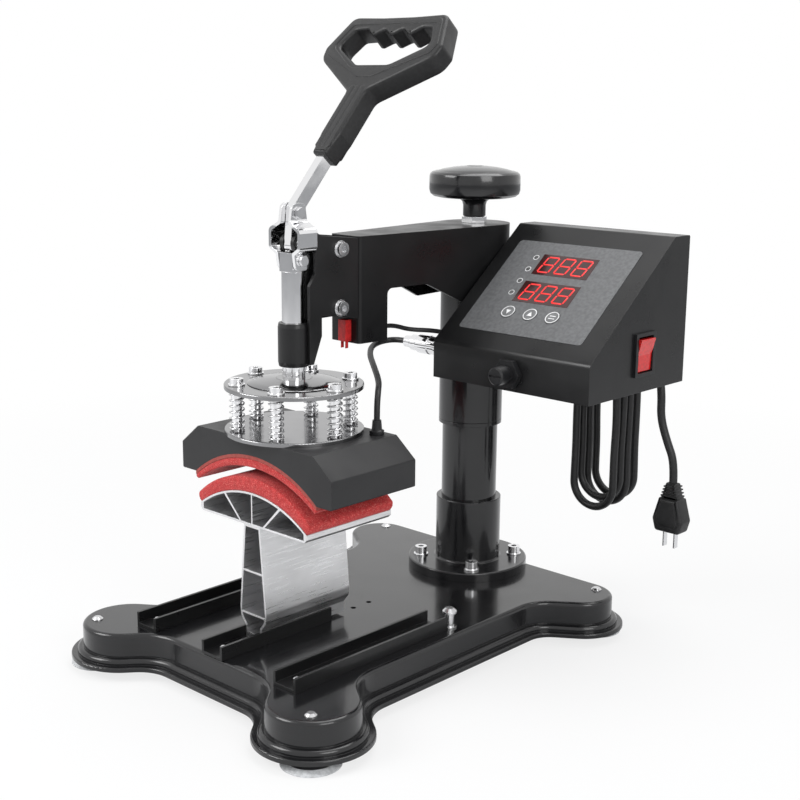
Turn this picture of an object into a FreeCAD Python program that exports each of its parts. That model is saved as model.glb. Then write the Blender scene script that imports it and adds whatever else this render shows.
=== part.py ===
import FreeCAD, Part
import math
import os
import Sketcher

# Combo heat press: a swing-away toggle press with a cap platen and a cap stand.
# Millimetres. x runs to the operator's right, y to the back, z up, and the origin
# lies on the bench in the middle of the press's footprint.
# Heights that end in _up are measured from the base's top plate, and places along x
# and y from the column's axis, unless a note says otherwise.

V = FreeCAD.Vector
doc = FreeCAD.newDocument("combo_heat_press")


class Size:
    """A size with its value and the formula that the document binds it by."""

    def __init__(self, value, text):
        self.value = float(value)
        self.text = text

    def __add__(self, other):
        return Size(self.value + number(other), f"({self.text} + {words(other)})")

    def __sub__(self, other):
        return Size(self.value - number(other), f"({self.text} - {words(other)})")

    def __mul__(self, other):
        return Size(self.value * number(other), f"({self.text} * {words(other)})")

    def __truediv__(self, other):
        return Size(self.value / number(other), f"({self.text} / {words(other)})")

    def __neg__(self):
        return Size(-self.value, f"(0 - {self.text})")

    def __radd__(self, other):
        return Size(number(other), words(other)) + self

    def __rsub__(self, other):
        return Size(number(other), words(other)) - self

    def __rmul__(self, other):
        return Size(number(other), words(other)) * self


def number(value):
    return value.value if isinstance(value, Size) else float(value)


def words(value):
    return value.text if isinstance(value, Size) else repr(float(value))


def root(value):
    return Size(math.sqrt(number(value)), f"sqrt({words(value)})")


def sine(angle):
    return Size(math.sin(math.radians(number(angle))), f"sin({words(angle)} * 1 deg)")


def cosine(angle):
    return Size(math.cos(math.radians(number(angle))), f"cos({words(angle)} * 1 deg)")


SIZES = {
    "column_x": (-20.4, "column's axis, from the origin"),
    "column_y": (149.0, "column's axis, from the origin"),
    "base_top": (43.5, "top plate above the bench"),
    "running_gap": (0.3, "between faces that move past each other"),
    # base pan
    "pan_wall": (2.5, "pressed sheet"),
    "pan_rim_height": (9.5, "rim's underside above the bench"),
    "rim_reach": (12.0, "rim beyond the top's outline"),
    "rim_depth": (4.5, "rim's height"),
    "bead_reach": (6.0, "bead beyond the top's outline"),
    "bead_depth": (10.5, "bead's height"),
    "pan_edge_radius": (4.0, "top edge"),
    "bead_radius": (4.0, "bead's edge"),
    "rim_radius": (1.5, "rim's edge"),
    "front_lobe_x": (135.0, "centre of a front corner"),
    "front_lobe_y": (365.0, "centre of a front corner, ahead of the column"),
    "front_lobe_radius": (43.0, "front corner"),
    "front_waist_x": (57.0, "end of the front edge's hollow"),
    "front_edge_y": (366.5, "front edge, ahead of the column"),
    "waist_radius": (50.0, "hollows beside the front corners"),
    "side_half_width": (128.0, "straight side, from the middle"),
    "side_front_y": (281.5, "front end of the straight side"),
    "side_rear_y": (63.0, "rear end of the straight side"),
    "rear_hollow_radius": (40.0, "hollow ahead of a rear corner"),
    "rear_lobe_x": (146.0, "centre of a rear corner"),
    "rear_lobe_y": (12.0, "centre of a rear corner, behind the column"),
    "rear_lobe_radius": (34.0, "rear corner"),
    # feet
    "foot_x": (154.4, "foot screws, from the middle"),
    "foot_front_y": (386.2, "front feet, ahead of the column"),
    "foot_rear_y": (29.9, "rear feet, behind the column"),
    "foot_stem_radius": (9.5, "rubber stem inside the pan"),
    "foot_cup_radius": (22.0, "rubber cup"),
    "foot_cup_height": (4.5, "cup's underside above the bench"),
    "foot_ring_radius": (27.0, "sucker lip on the bench"),
    "foot_ring_bore": (17.0, "inside of the sucker lip"),
    "foot_screw_radius": (3.0, "M6 screw"),
    "foot_head_radius": (5.5, "pan head"),
    "foot_head_height": (2.6, "pan head"),
    "foot_screw_length": (26.0, "below the head"),
    # column
    "column_radius": (30.0, "60 mm column tube"),
    "column_wall": (3.5, "column tube"),
    "column_height": (366.0, "column tube above the top plate"),
    "flange_radius": (65.5, "column's flange"),
    "flange_depth": (10.0, "column's flange"),
    "socket_radius": (35.5, "socket that the column stands in"),
    "socket_top_up": (80.0, "top of the socket"),
    "flange_bolt_circle": (52.0, "radius of the bolt circle"),
    "flange_bolt_radius": (4.0, "M8 bolt"),
    "flange_hole_gap": (0.4, "bolt to hole"),
    "flange_head_radius": (6.5, "socket head"),
    "flange_head_height": (8.0, "socket head"),
    "flange_washer_radius": (8.0, "washer"),
    "flange_washer_depth": (1.6, "washer"),
    "hex_key_radius": (3.2, "socket in the head"),
    "hex_key_depth": (4.5, "socket in the head"),
    "nut_depth": (6.5, "M8 nut under the pan"),
    "flange_nut_radius": (7.4, "M8 nut, across the corners, halved"),
    "column_nut_depth": (26.0, "threaded plug in the column's top"),
    # tool channels
    "channel_width": (29.0, "outside"),
    "channel_depth": (13.5, "outside"),
    "channel_wall": (2.8, "channel's walls and floor"),
    "side_channel_x": (100.0, "side channels, from the middle"),
    "channel_front_y": (367.0, "front ends, ahead of the column"),
    "side_channel_rear_y": (165.0, "rear ends of the side channels"),
    "centre_channel_rear_y": (226.0, "rear end of the centre channel"),
    "stop_screw_inset": (7.0, "stop screws behind the channels' front ends"),
    "stop_screw_radius": (2.0, "stop screw"),
    "stop_head_radius": (3.0, "stop screw's head"),
    "stop_screw_height": (9.0, "stop screw above the channel's floor"),
    "locating_x": (110.0, "locating screw"),
    "locating_y": (157.0, "locating screw, ahead of the column"),
    "locating_height": (20.0, "locating screw above the top plate"),
    "locating_radius": (4.5, "locating screw's shank"),
    "locating_head_radius": (7.0, "locating screw's head"),
    "locating_head_depth": (5.0, "locating screw's head"),
    "fixing_hole_radius": (2.8, "two fixing holes in the top plate"),
    "fixing_hole_spacing": (22.5, "between the fixing holes"),
    "fixing_hole_x": (6.5, "fixing holes"),
    "fixing_hole_y": (176.0, "middle of the fixing holes, ahead of the column"),
    # swivel
    "bush_wall": (1.7, "swivel bush"),
    "sleeve_wall": (1.9, "swivel sleeve"),
    "bush_flange_up": (164.0, "underside of the bush's flange"),
    "bush_flange_depth": (4.0, "bush's flange"),
    "arm_top_up": (380.0, "top of the arm"),
    "arm_wall": (3.4, "arm's plate"),
    "arm_barrel_up": (304.0, "underside of the arm's barrel"),
    "arm_cut_up": (327.0, "underside of the arm's beam"),
    "arm_cut_rear_y": (105.0, "rear end of the beam's level underside"),
    "arm_slope_rear_y": (55.0, "rear end of its sloping underside"),
    "arm_drop_up": (276.0, "foot of the arm's front post"),
    "arm_drop_rear_y": (157.0, "rear of the arm's front post"),
    "arm_front_y": (193.0, "front of the arm"),
    "arm_front_half": (20.0, "half width of the arm's front"),
    "arm_corner_radius": (4.0, "arm's front corners"),
    # pressure knob and its screw
    "screw_radius": (8.0, "M16 lift screw"),
    "screw_gap": (0.25, "lift screw to its nut"),
    "screw_bottom_up": (318.0, "lower end of the lift screw"),
    "thrust_nut_radius": (14.0, "across the corners, halved"),
    "thrust_nut_depth": (6.0, "nut under the knob"),
    "knob_hub_radius": (12.0, "knob's hub"),
    "knob_hub_depth": (20.0, "knob's hub"),
    "knob_radius": (48.0, "knob's rim"),
    "knob_rim_depth": (27.0, "knob's rim"),
    "knob_dome": (6.0, "rise of the knob's top"),
    # bracket at the front of the arm
    "head_reach": (260.3, "plunger's axis, ahead of the column"),
    "cheek_wall": (3.5, "bracket's cheeks"),
    "cheek_rear_gap": (0.3, "cheek to the arm's front"),
    "sleeve_radius": (15.0, "guide sleeve"),
    "sleeve_bottom_up": (262.0, "guide sleeve"),
    "sleeve_top_up": (303.0, "guide sleeve"),
    "fulcrum_up": (377.7, "lever's fulcrum pin"),
    "ear_radius": (8.0, "fulcrum ears"),
    "ear_wall": (4.5, "fulcrum ears"),
    "pin_radius": (4.0, "fulcrum pin"),
    "pin_gap": (0.1, "pin to bore, on the radius"),
    "pin_head_radius": (5.5, "pin heads"),
    "pin_head_depth": (2.0, "pin heads"),
    "bracket_bolt_y": (217.5, "bracket bolts, ahead of the column"),
    "bracket_bolt_high_up": (370.0, "upper bracket bolt"),
    "bracket_bolt_low_up": (314.0, "lower bracket bolt"),
    "bracket_bolt_radius": (4.0, "bracket bolts"),
    "bracket_head_radius": (6.5, "bracket bolts' heads"),
    "bracket_head_depth": (5.5, "bracket bolts' heads"),
    # lever
    "lever_wall": (9.0, "lever bar, along x"),
    "lever_depth": (13.0, "lever bar, across its length"),
    "lever_boss_radius": (7.6, "lever's boss at the fulcrum"),
    "crank_radius": (27.6, "fulcrum pin to crank pin"),
    "lever_lean": (49.0, "lever above the horizontal, in degrees"),
    "lever_length": (122.0, "crank pin to the bar's end inside the grip"),
    "grip_start": (62.0, "crank pin to the lower end of the grip"),
    "grip_depth": (22.0, "grip, across its plane"),
    "grip_neck_length": (95.0, "lower end of the grip to its hand loop"),
    "grip_neck_half": (12.5, "half width of the neck at the loop"),
    "grip_tail_half": (8.6, "half width of the neck's lower end"),
    "grip_top": (74.0, "neck to the top bar's outside"),
    "grip_top_half": (62.0, "half width at the top bar"),
    "grip_wide_half": (77.0, "half width at the widest"),
    "grip_wide_up": (38.0, "neck to the widest place"),
    "grip_hole_top": (56.0, "neck to the top of the hand hole"),
    "grip_hole_top_half": (48.0, "half width of the hand hole's top"),
    "grip_hole_half": (59.0, "half width of the hand hole"),
    "grip_hole_up": (37.0, "neck to the hand hole's widest place"),
    "grip_hole_low": (13.0, "neck to the hand hole's bottom"),
    "grip_hole_low_half": (24.0, "half width of the hand hole's bottom"),
    "finger_radius": (16.0, "finger hollows in the top bar"),
    # links and plunger
    "link_length": (43.8, "crank pin to plunger pin"),
    "link_depth": (22.0, "links, along y"),
    "link_wall": (3.2, "links"),
    "link_bow": (21.2, "outside of the bow, from the middle"),
    "crank_pin_radius": (4.0, "crank pin"),
    "crank_head_radius": (5.7, "crank pin's head and nut, across the corners, halved"),
    "plunger_pin_head_radius": (4.8, "plunger pin's heads"),
    "plunger_radius": (11.0, "plunger tube"),
    "plunger_bore": (7.0, "plunger tube"),
    "block_half": (9.0, "plunger's top block"),
    "block_top_up": (369.0, "top of the plunger's block"),
    "block_depth": (18.0, "plunger's block"),
    "slot_half": (6.8, "room for the plunger's pin in its block, along y"),
    "slot_low": (4.4, "room below the pin's middle"),
    "slot_high": (7.4, "room above the pin's middle"),
    "disc_radius": (66.3, "pressure discs"),
    "top_disc_up": (245.5, "top of the upper disc"),
    "disc_depth": (4.0, "pressure discs"),
    "collar_radius": (17.0, "collar on the upper disc"),
    "collar_depth": (5.0, "collar on the upper disc"),
    "rod_circle": (55.0, "radius of the circle of spring rods"),
    "rod_radius": (4.0, "spring rods"),
    "rod_gap": (0.4, "rods to the upper disc's holes"),
    "rod_head_radius": (6.5, "spring rods' heads"),
    "rod_head_depth": (5.0, "spring rods' heads"),
    "rod_washer_radius": (8.0, "washers under the heads"),
    "rod_washer_depth": (1.5, "washers under the heads"),
    "spring_radius": (6.6, "springs, to the wire's middle"),
    "spring_wire": (1.8, "spring wire"),
    # cap platen
    "platen_half": (104.8, "half width of the platen"),
    "platen_top_half": (80.2, "half width of its top"),
    "platen_top_up": (198.5, "top of the platen"),
    "platen_shoulder_up": (178.8, "top of its upright sides"),
    "platen_bottom_up": (152.5, "underside of the platen"),
    "platen_arc_half": (85.0, "half chord of its hollow"),
    "platen_arc_up": (183.0, "top of its hollow"),
    "platen_depth": (109.2, "platen, along y"),
    "platen_rear_y": (203.7, "back of the platen, ahead of the column"),
    "heater_wall": (3.5, "heating mat"),
    "pad_end_drop": (7.5, "upper pad's ends below the platen"),
    "pad_face_up": (171.5, "top of the upper pad's hollow face"),
    "pad_arc_half": (82.0, "half chord of the upper pad's face"),
    "pad_gap": (9.0, "open gap between the pads"),
    # cap stand
    "form_half": (75.0, "half chord of the cap form"),
    "form_bottom_up": (115.9, "underside of the cap form"),
    "form_end_up": (123.6, "top of the form's ends"),
    "form_top_up": (148.0, "crown of the form"),
    "form_depth": (110.4, "form and stand, along y"),
    "form_rear_y": (205.2, "back of the form, ahead of the column"),
    "form_wall": (2.0, "extrusion's walls"),
    "form_web_top": (38.0, "slanted webs at the crown"),
    "form_web_foot": (16.0, "slanted webs at the floor"),
    "form_web": (1.6, "webs"),
    "cap_pad_half": (78.0, "half width of the lower pad's face"),
    "stand_top_half": (11.0, "half width of the stand's top"),
    "stand_belly_half": (18.6, "half width of the stand's belly"),
    "stand_belly_up": (31.0, "height of the belly"),
    "stand_foot_half": (11.2, "half width of the foot in its channel"),
    "stand_web_high_up": (70.0, "upper web"),
    "stand_web_low_up": (27.0, "lower web"),
    # control box
    "box_left_x": (38.8, "left side"),
    "box_width": (190.4, "along x"),
    "box_front_y": (105.5, "front lip, ahead of the column"),
    "box_rear_y": (55.7, "back, behind the column"),
    "box_bottom_up": (234.2, "underside"),
    "box_lip_height": (37.4, "front lip"),
    "box_slope_run": (135.1, "sloping front, along y"),
    "box_slope": (38.8, "sloping front, in degrees"),
    "box_wall": (2.0, "sheet"),
    "box_front_wall": (6.0, "sloping front, with its frame"),
    "panel_x": (56.0, "left edge of the panel"),
    "panel_width": (150.0, "panel"),
    "panel_low": (22.0, "panel's lower edge, up the slope"),
    "panel_height": (127.0, "panel, up the slope"),
    "panel_depth": (3.0, "panel"),
    "panel_recess": (2.7, "panel's seat"),
    "display_x": (97.0, "left edge of the displays"),
    "display_width": (67.5, "displays"),
    "display_height": (28.5, "displays"),
    "display_low": (65.0, "lower display, up the slope"),
    "display_high": (103.5, "upper display, up the slope"),
    "display_depth": (1.6, "display windows"),
    "lamp_x": (89.5, "indicator lamps"),
    "lamp_low": (76.0, "lowest lamp, up the slope"),
    "lamp_pitch": (16.8, "between lamps"),
    "lamp_radius": (2.4, "lamps"),
    "button_low": (50.3, "buttons, up the slope"),
    "button_x": (102.0, "left button"),
    "button_pitch": (27.0, "between buttons"),
    "button_radius": (7.8, "buttons"),
    "button_travel": (0.5, "buttons"),
    "rocker_y": (18.0, "rocker switch, ahead of the column"),
    "rocker_up": (271.5, "rocker switch"),
    "rocker_half_width": (12.0, "rocker cap, along y"),
    "rocker_half_height": (16.5, "rocker cap, along z"),
    "rocker_tilt": (9.0, "rocker cap from the middle, in degrees"),
    "bezel_half_width": (16.5, "rocker's frame, along y"),
    "bezel_half_height": (21.0, "rocker's frame, along z"),
    "bezel_depth": (3.0, "rocker's frame"),
    "fuse_x": (136.0, "fuse holder"),
    "fuse_up": (251.5, "fuse holder"),
    "fuse_radius": (9.0, "fuse cap"),
    "fuse_length": (22.0, "fuse holder ahead of the lip"),
    "fuse_nut_radius": (15.5, "across the corners, halved"),
    "fuse_nut_depth": (6.0, "fuse holder's nut"),
    "socket_y": (94.0, "heater connector, ahead of the column"),
    "socket_up": (263.0, "heater connector"),
    "switch_width": (10.0, "micro-switch, along x"),
    "switch_depth": (8.0, "micro-switch, along y"),
    "switch_height": (21.0, "micro-switch, along z"),
    # cords
    "cord_radius": (4.25, "mains lead"),
    "hank_left_x": (87.0, "left strands of the hank"),
    "hank_right_x": (138.0, "right strands of the hank"),
    "hank_far_y": (115.0, "turn farthest from the box, behind the column"),
    "hank_first_pitch": (13.5, "between the farthest turn and the next"),
    "hank_pitch": (11.5, "between the other turns"),
    "lead_radius": (34.0, "bend of the lead behind its strain relief"),
    "hank_bottom_up": (75.0, "lowest place of the hank"),
    "hank_top_up": (212.0, "top of the straight strands"),
    "tail_x": (200.0, "top of the cord's tail"),
    "tail_y": (66.0, "cord's tail, behind the column"),
    "gland_up": (262.0, "cord's way out of the box"),
    "gland_length": (22.0, "strain relief"),
    "cable_radius": (3.0, "heater cable"),
    "sensor_radius": (2.3, "sensor cable"),
}


def make_sheet():
    sheet = doc.addObject("Spreadsheet::Sheet", "Sizes")
    for row, (name, (value, note)) in enumerate(SIZES.items(), start=1):
        sheet.set(f"A{row}", name)
        sheet.set(f"B{row}", repr(value))
        sheet.set(f"C{row}", note)
        sheet.setAlias(f"B{row}", name)
    doc.recompute()


class Named:
    def __getattr__(self, name):
        return Size(SIZES[name][0], f"Sizes.{name}")


S = Named()
make_sheet()
parts = {}
cx = S.column_x
cy = S.column_y
deck = S.base_top
head_y = cy - S.head_reach


def keep(name, item):
    item.Label = name
    parts[name] = item
    return item


TURNS = {
    "z": FreeCAD.Rotation(),
    "x": FreeCAD.Rotation(V(0, 1, 0), 90),
    "y": FreeCAD.Rotation(V(1, 0, 0), -90),
    "-y": FreeCAD.Rotation(V(1, 0, 0), 90),
    "-x": FreeCAD.Rotation(V(0, 1, 0), -90),
}


def place(item, at, turn=None, angle=None):
    turn = turn or FreeCAD.Rotation()
    item.Placement = FreeCAD.Placement(V(*[number(c) for c in at]), turn)
    for axis, value in zip("xyz", at):
        if isinstance(value, Size):
            item.setExpression(f".Placement.Base.{axis}", value.text)
    if isinstance(angle, Size):
        item.setExpression(".Placement.Rotation.Angle", angle.text)
    return item


def tilt(item, at, angle):
    """Place an item turned about the x axis by an angle from the sheet."""
    return place(item, at, FreeCAD.Rotation(V(1, 0, 0), number(angle)), angle)


def size(item, prop, value):
    setattr(item, prop, number(value))
    if isinstance(value, Size):
        item.setExpression(prop, value.text)


def block(name, low, lengths):
    item = doc.addObject("Part::Box", name)
    for prop, value in zip(("Length", "Width", "Height"), lengths):
        size(item, prop, value)
    return place(item, low)


def rod(name, at, radius, length, along="z"):
    item = doc.addObject("Part::Cylinder", name)
    size(item, "Radius", radius)
    size(item, "Height", length)
    return place(item, at, TURNS[along])


def cone(name, at, radius, end_radius, length, along="z"):
    item = doc.addObject("Part::Cone", name)
    size(item, "Radius1", radius)
    size(item, "Radius2", end_radius)
    size(item, "Height", length)
    return place(item, at, TURNS[along])


def hexagon(name, at, radius, length, along="z"):
    item = doc.addObject("Part::Prism", name)
    item.Polygon = 6
    size(item, "Circumradius", radius)
    size(item, "Height", length)
    return place(item, at, TURNS[along])


def fuse(name, items):
    item = doc.addObject("Part::MultiFuse", name)
    item.Shapes = items
    item.Refine = True
    return item


def cut(name, base, tool):
    item = doc.addObject("Part::Cut", name)
    item.Base = base
    item.Tool = tool
    item.Refine = True
    return item


def common(name, one, other):
    item = doc.addObject("Part::Common", name)
    item.Base = one
    item.Tool = other
    return item


def group(name, items):
    item = doc.addObject("Part::Compound", name)
    item.Links = items
    return keep(name, item)


def tube(name, at, radius, bore, length, along="z"):
    inner = rod(name + "_bore", at, bore, length, along)
    return cut(name, rod(name + "_outside", at, radius, length, along), inner)


def body(name, at=(0, 0, 0), turn=None, angle=None):
    item = doc.addObject("PartDesign::Body", name)
    return place(item, at, turn, angle)


def sketch(item, plane, offset=0):
    role = plane + "_Plane"
    face = next(f for f in item.Origin.OriginFeatures if f.Role == role)
    made = item.newObject("Sketcher::SketchObject", item.Name + "_sketch")
    made.AttachmentSupport = [(face, "")]
    made.MapMode = "FlatFace"
    made.AttachmentOffset = FreeCAD.Placement(V(0, 0, number(offset)), FreeCAD.Rotation())
    if isinstance(offset, Size):
        made.setExpression(".AttachmentOffset.Base.z", offset.text)
    return made


def fix(made, kind, *refs):
    """Add a constraint whose last entry is a size, and bind it."""
    value = refs[-1]
    index = made.addConstraint(Sketcher.Constraint(kind, *refs[:-1], number(value)))
    if isinstance(value, Size):
        made.setExpression(f"Constraints[{index}]", value.text)


def fix_point(made, geo, pos, x, y):
    fix(made, "DistanceX", -1, 1, geo, pos, x)
    fix(made, "DistanceY", -1, 1, geo, pos, y)


def circle(made, x, y, radius):
    geo = made.addGeometry(Part.Circle(V(number(x), number(y), 0), V(0, 0, 1), number(radius)))
    fix_point(made, geo, 3, x, y)
    fix(made, "Radius", geo, radius)


def outline(made, corners):
    """A closed loop. A corner is (x, y) or (x, y, r) with a tangent arc of radius r.
    A corner (x, y, "arc", r) is sharp, and an arc of radius r, to the right of the
    way when r is positive, runs from it to the next."""
    count = len(corners)
    spots = [V(number(c[0]), number(c[1]), 0) for c in corners]
    lines = []
    for i, corner in enumerate(corners):
        here, there = spots[i], spots[(i + 1) % count]
        if len(corner) == 4:
            lines.append(add_bow(made, here, there, number(corner[3])))
            continue
        way = (there - here).normalize()
        start = here + way * trim(corners, spots, i)
        end = there - way * trim(corners, spots, (i + 1) % count)
        lines.append((made.addGeometry(Part.LineSegment(start, end)), 1, 2))
    for i, corner in enumerate(corners):
        before, after = lines[i - 1], lines[i]
        if len(corner) != 3:
            made.addConstraint(Sketcher.Constraint("Coincident", before[0], before[2],
                                                   after[0], after[1]))
            fix_point(made, after[0], after[1], corner[0], corner[1])
            continue
        round_corner(made, before[0], after[0], corner)
    for line, corner in zip(lines, corners):
        if len(corner) == 4:
            radius = corner[3] if number(corner[3]) > 0 else -corner[3]
            fix(made, "Radius", line[0], radius)


def trim(corners, spots, i):
    """How far a corner's arc cuts back its two lines."""
    if len(corners[i]) != 3:
        return 0.0
    back = (spots[i - 1] - spots[i]).normalize()
    on = (spots[(i + 1) % len(spots)] - spots[i]).normalize()
    return number(corners[i][2]) / math.tan(back.getAngle(on) / 2)


def round_corner(made, before, after, corner):
    one, two = made.Geometry[before], made.Geometry[after]
    start, end = one.EndPoint, two.StartPoint
    way = (end - start).normalize()
    peak = V(number(corner[0]), number(corner[1]), 0)
    inward = ((start + end) * 0.5 - peak).normalize()
    radius = number(corner[2])
    half = (end - start).Length / 2
    sag = radius - math.sqrt(max(radius * radius - half * half, 0))
    middle = (start + end) * 0.5 - inward * sag
    arc = made.addGeometry(Part.Arc(start, middle, end))
    turned = way.cross(inward).z > 0
    first, last = (1, 2) if turned else (2, 1)
    made.addConstraint(Sketcher.Constraint("Tangent", before, 2, arc, first))
    made.addConstraint(Sketcher.Constraint("Tangent", arc, last, after, 1))
    fix(made, "Radius", arc, corner[2])
    point = made.addGeometry(Part.Point(peak), True)
    made.addConstraint(Sketcher.Constraint("PointOnObject", point, 1, before))
    made.addConstraint(Sketcher.Constraint("PointOnObject", point, 1, after))
    fix_point(made, point, 1, corner[0], corner[1])


def add_bow(made, here, there, radius):
    """An arc from here to there; its middle lies to the right of the way when positive."""
    half = (there - here).Length / 2
    way = (there - here).normalize()
    right = V(way.y, -way.x, 0) * (1 if radius > 0 else -1)
    sag = abs(radius) - math.sqrt(radius * radius - half * half)
    geo = made.addGeometry(Part.Arc(here, (here + there) * 0.5 + right * sag, there))
    return (geo, 1, 2) if radius > 0 else (geo, 2, 1)


def belt(made, circles, grow=0):
    """A loop of arcs and the tangents between them. A circle is (x, y, r, side), where
    side is 1 for a bulge and -1 for a hollow, and grow moves the whole loop outwards."""
    rounds = [(x, y, r + grow if side > 0 else r - grow, side) for x, y, r, side in circles]
    count = len(rounds)
    ends = [tangent(rounds[i], rounds[(i + 1) % count]) for i in range(count)]
    arcs = []
    lines = []
    for i, (x, y, r, side) in enumerate(rounds):
        centre = V(number(x), number(y), 0)
        a, b = ends[i - 1][1], ends[i][0]
        start, end = (a, b) if side > 0 else (b, a)
        low = math.atan2(start.y - centre.y, start.x - centre.x)
        high = math.atan2(end.y - centre.y, end.x - centre.x)
        if high < low:
            high += 2 * math.pi
        ring = Part.Circle(centre, V(0, 0, 1), number(r))
        arcs.append(made.addGeometry(Part.ArcOfCircle(ring, low, high)))
    for i in range(count):
        lines.append(made.addGeometry(Part.LineSegment(*ends[i])))
    for i, (x, y, r, side) in enumerate(rounds):
        entry, leave = (1, 2) if side > 0 else (2, 1)
        made.addConstraint(Sketcher.Constraint("Tangent", lines[i - 1], 2, arcs[i], entry))
        made.addConstraint(Sketcher.Constraint("Tangent", arcs[i], leave, lines[i], 1))
        fix_point(made, arcs[i], 3, x, y)
        fix(made, "Radius", arcs[i], r)


def tangent(one, two):
    (x1, y1, r1, s1), (x2, y2, r2, s2) = [[number(v) for v in c] for c in (one, two)]
    away = V(x2 - x1, y2 - y1, 0)
    lean = math.asin((r1 * s1 - r2 * s2) / away.Length)
    side = math.atan2(away.y, away.x) - math.pi / 2 + lean
    ray = V(math.cos(side), math.sin(side), 0)
    return V(x1, y1, 0) + ray * (r1 * s1), V(x2, y2, 0) + ray * (r2 * s2)


def pad(item, made, length, flip=False):
    feature = item.newObject("PartDesign::Pad", item.Name + "_pad")
    feature.Profile = made
    size(feature, "Length", length)
    feature.Reversed = flip
    made.Visibility = False
    return feature


def pocket(item, made, length, flip=False):
    doc.recompute()
    before = item.Shape.Volume
    feature = item.newObject("PartDesign::Pocket", item.Name + "_pocket")
    feature.Profile = made
    size(feature, "Length", length)
    feature.Reversed = flip
    doc.recompute()
    if item.Shape.Volume > before - 0.01:
        raise RuntimeError(item.Name + ": the pocket cut nothing")
    return feature


def revolve(item, made):
    feature = item.newObject("PartDesign::Revolution", item.Name + "_revolve")
    feature.Profile = made
    feature.ReferenceAxis = (made, ["V_Axis"])
    feature.Angle = 360
    return feature


def turned(name, at, corners, along="z"):
    """A turned piece: corners are (radius, height) along the axis."""
    item = body(name, at, TURNS[along])
    made = sketch(item, "XZ")
    outline(made, corners)
    revolve(item, made)
    return item


def prism(name, at, plane, corners, length, flip=False):
    item = body(name, at)
    made = sketch(item, plane)
    outline(made, corners)
    pad(item, made, length, flip)
    return item


def soften(item, radius, test):
    """Round the edges of a body for which test(edge) is true."""
    doc.recompute()
    base = item.Tip
    names = [f"Edge{i}" for i, e in enumerate(base.Shape.Edges, start=1) if test(e)]
    feature = item.newObject("PartDesign::Fillet", item.Name + "_fillet")
    feature.Base = (base, names)
    size(feature, "Radius", radius)
    return feature


def level_edge(z):
    """True for an edge that lies level at height z in its own body."""
    def test(edge):
        box = edge.BoundBox
        return abs(box.ZMin - number(z)) < 0.01 and abs(box.ZMax - number(z)) < 0.01
    return test


# Base: a pressed pan with four lobed corners

def pan_belt():
    front_y = -S.front_lobe_y
    hollow_y = -(S.front_edge_y + S.waist_radius)
    side_x = S.side_half_width + S.waist_radius
    rear_x = S.side_half_width + S.rear_hollow_radius
    return [
        (-S.front_lobe_x, front_y, S.front_lobe_radius, 1),
        (-S.front_waist_x, hollow_y, S.waist_radius, -1),
        (S.front_waist_x, hollow_y, S.waist_radius, -1),
        (S.front_lobe_x, front_y, S.front_lobe_radius, 1),
        (side_x, -S.side_front_y, S.waist_radius, -1),
        (rear_x, -S.side_rear_y, S.rear_hollow_radius, -1),
        (S.rear_lobe_x, S.rear_lobe_y, S.rear_lobe_radius, 1),
        (-S.rear_lobe_x, S.rear_lobe_y, S.rear_lobe_radius, 1),
        (-rear_x, -S.side_rear_y, S.rear_hollow_radius, -1),
        (-side_x, -S.side_front_y, S.waist_radius, -1),
    ]


def make_pan():
    pan = body("base_pan", (cx, cy, 0))
    steps = [
        (S.rim_reach, S.rim_depth, S.rim_radius),
        (S.bead_reach, S.bead_depth, S.bead_radius),
        (0, deck - S.pan_rim_height, S.pan_edge_radius),
    ]
    for grow, height, radius in steps:
        made = sketch(pan, "XY", S.pan_rim_height)
        belt(made, pan_belt(), grow)
        pad(pan, made, height)
        soften(pan, radius, level_edge(S.pan_rim_height + height))
    inside = sketch(pan, "XY", S.pan_rim_height)
    belt(inside, pan_belt(), -S.pan_wall)
    pocket(pan, inside, deck - S.pan_rim_height - S.pan_wall, True)
    holes = sketch(pan, "XY", deck)
    for x, y in foot_spots():
        circle(holes, x, y, S.foot_screw_radius + S.flange_hole_gap)
    for x, y in flange_spots():
        circle(holes, x, y, S.flange_bolt_radius + S.flange_hole_gap)
    for end in (-1, 1):
        y = end * S.fixing_hole_spacing / 2 - S.fixing_hole_y
        circle(holes, S.fixing_hole_x, y, S.fixing_hole_radius)
    pocket(pan, holes, S.pan_wall * 2)
    keep("base_pan", pan)


def foot_spots():
    return [(side * S.foot_x, y) for y in (-S.foot_front_y, S.foot_rear_y) for side in (-1, 1)]


def flange_spots():
    reach = S.flange_bolt_circle * cosine(45)
    return [(a * reach, b * reach) for a in (-1, 1) for b in (-1, 1)]


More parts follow.
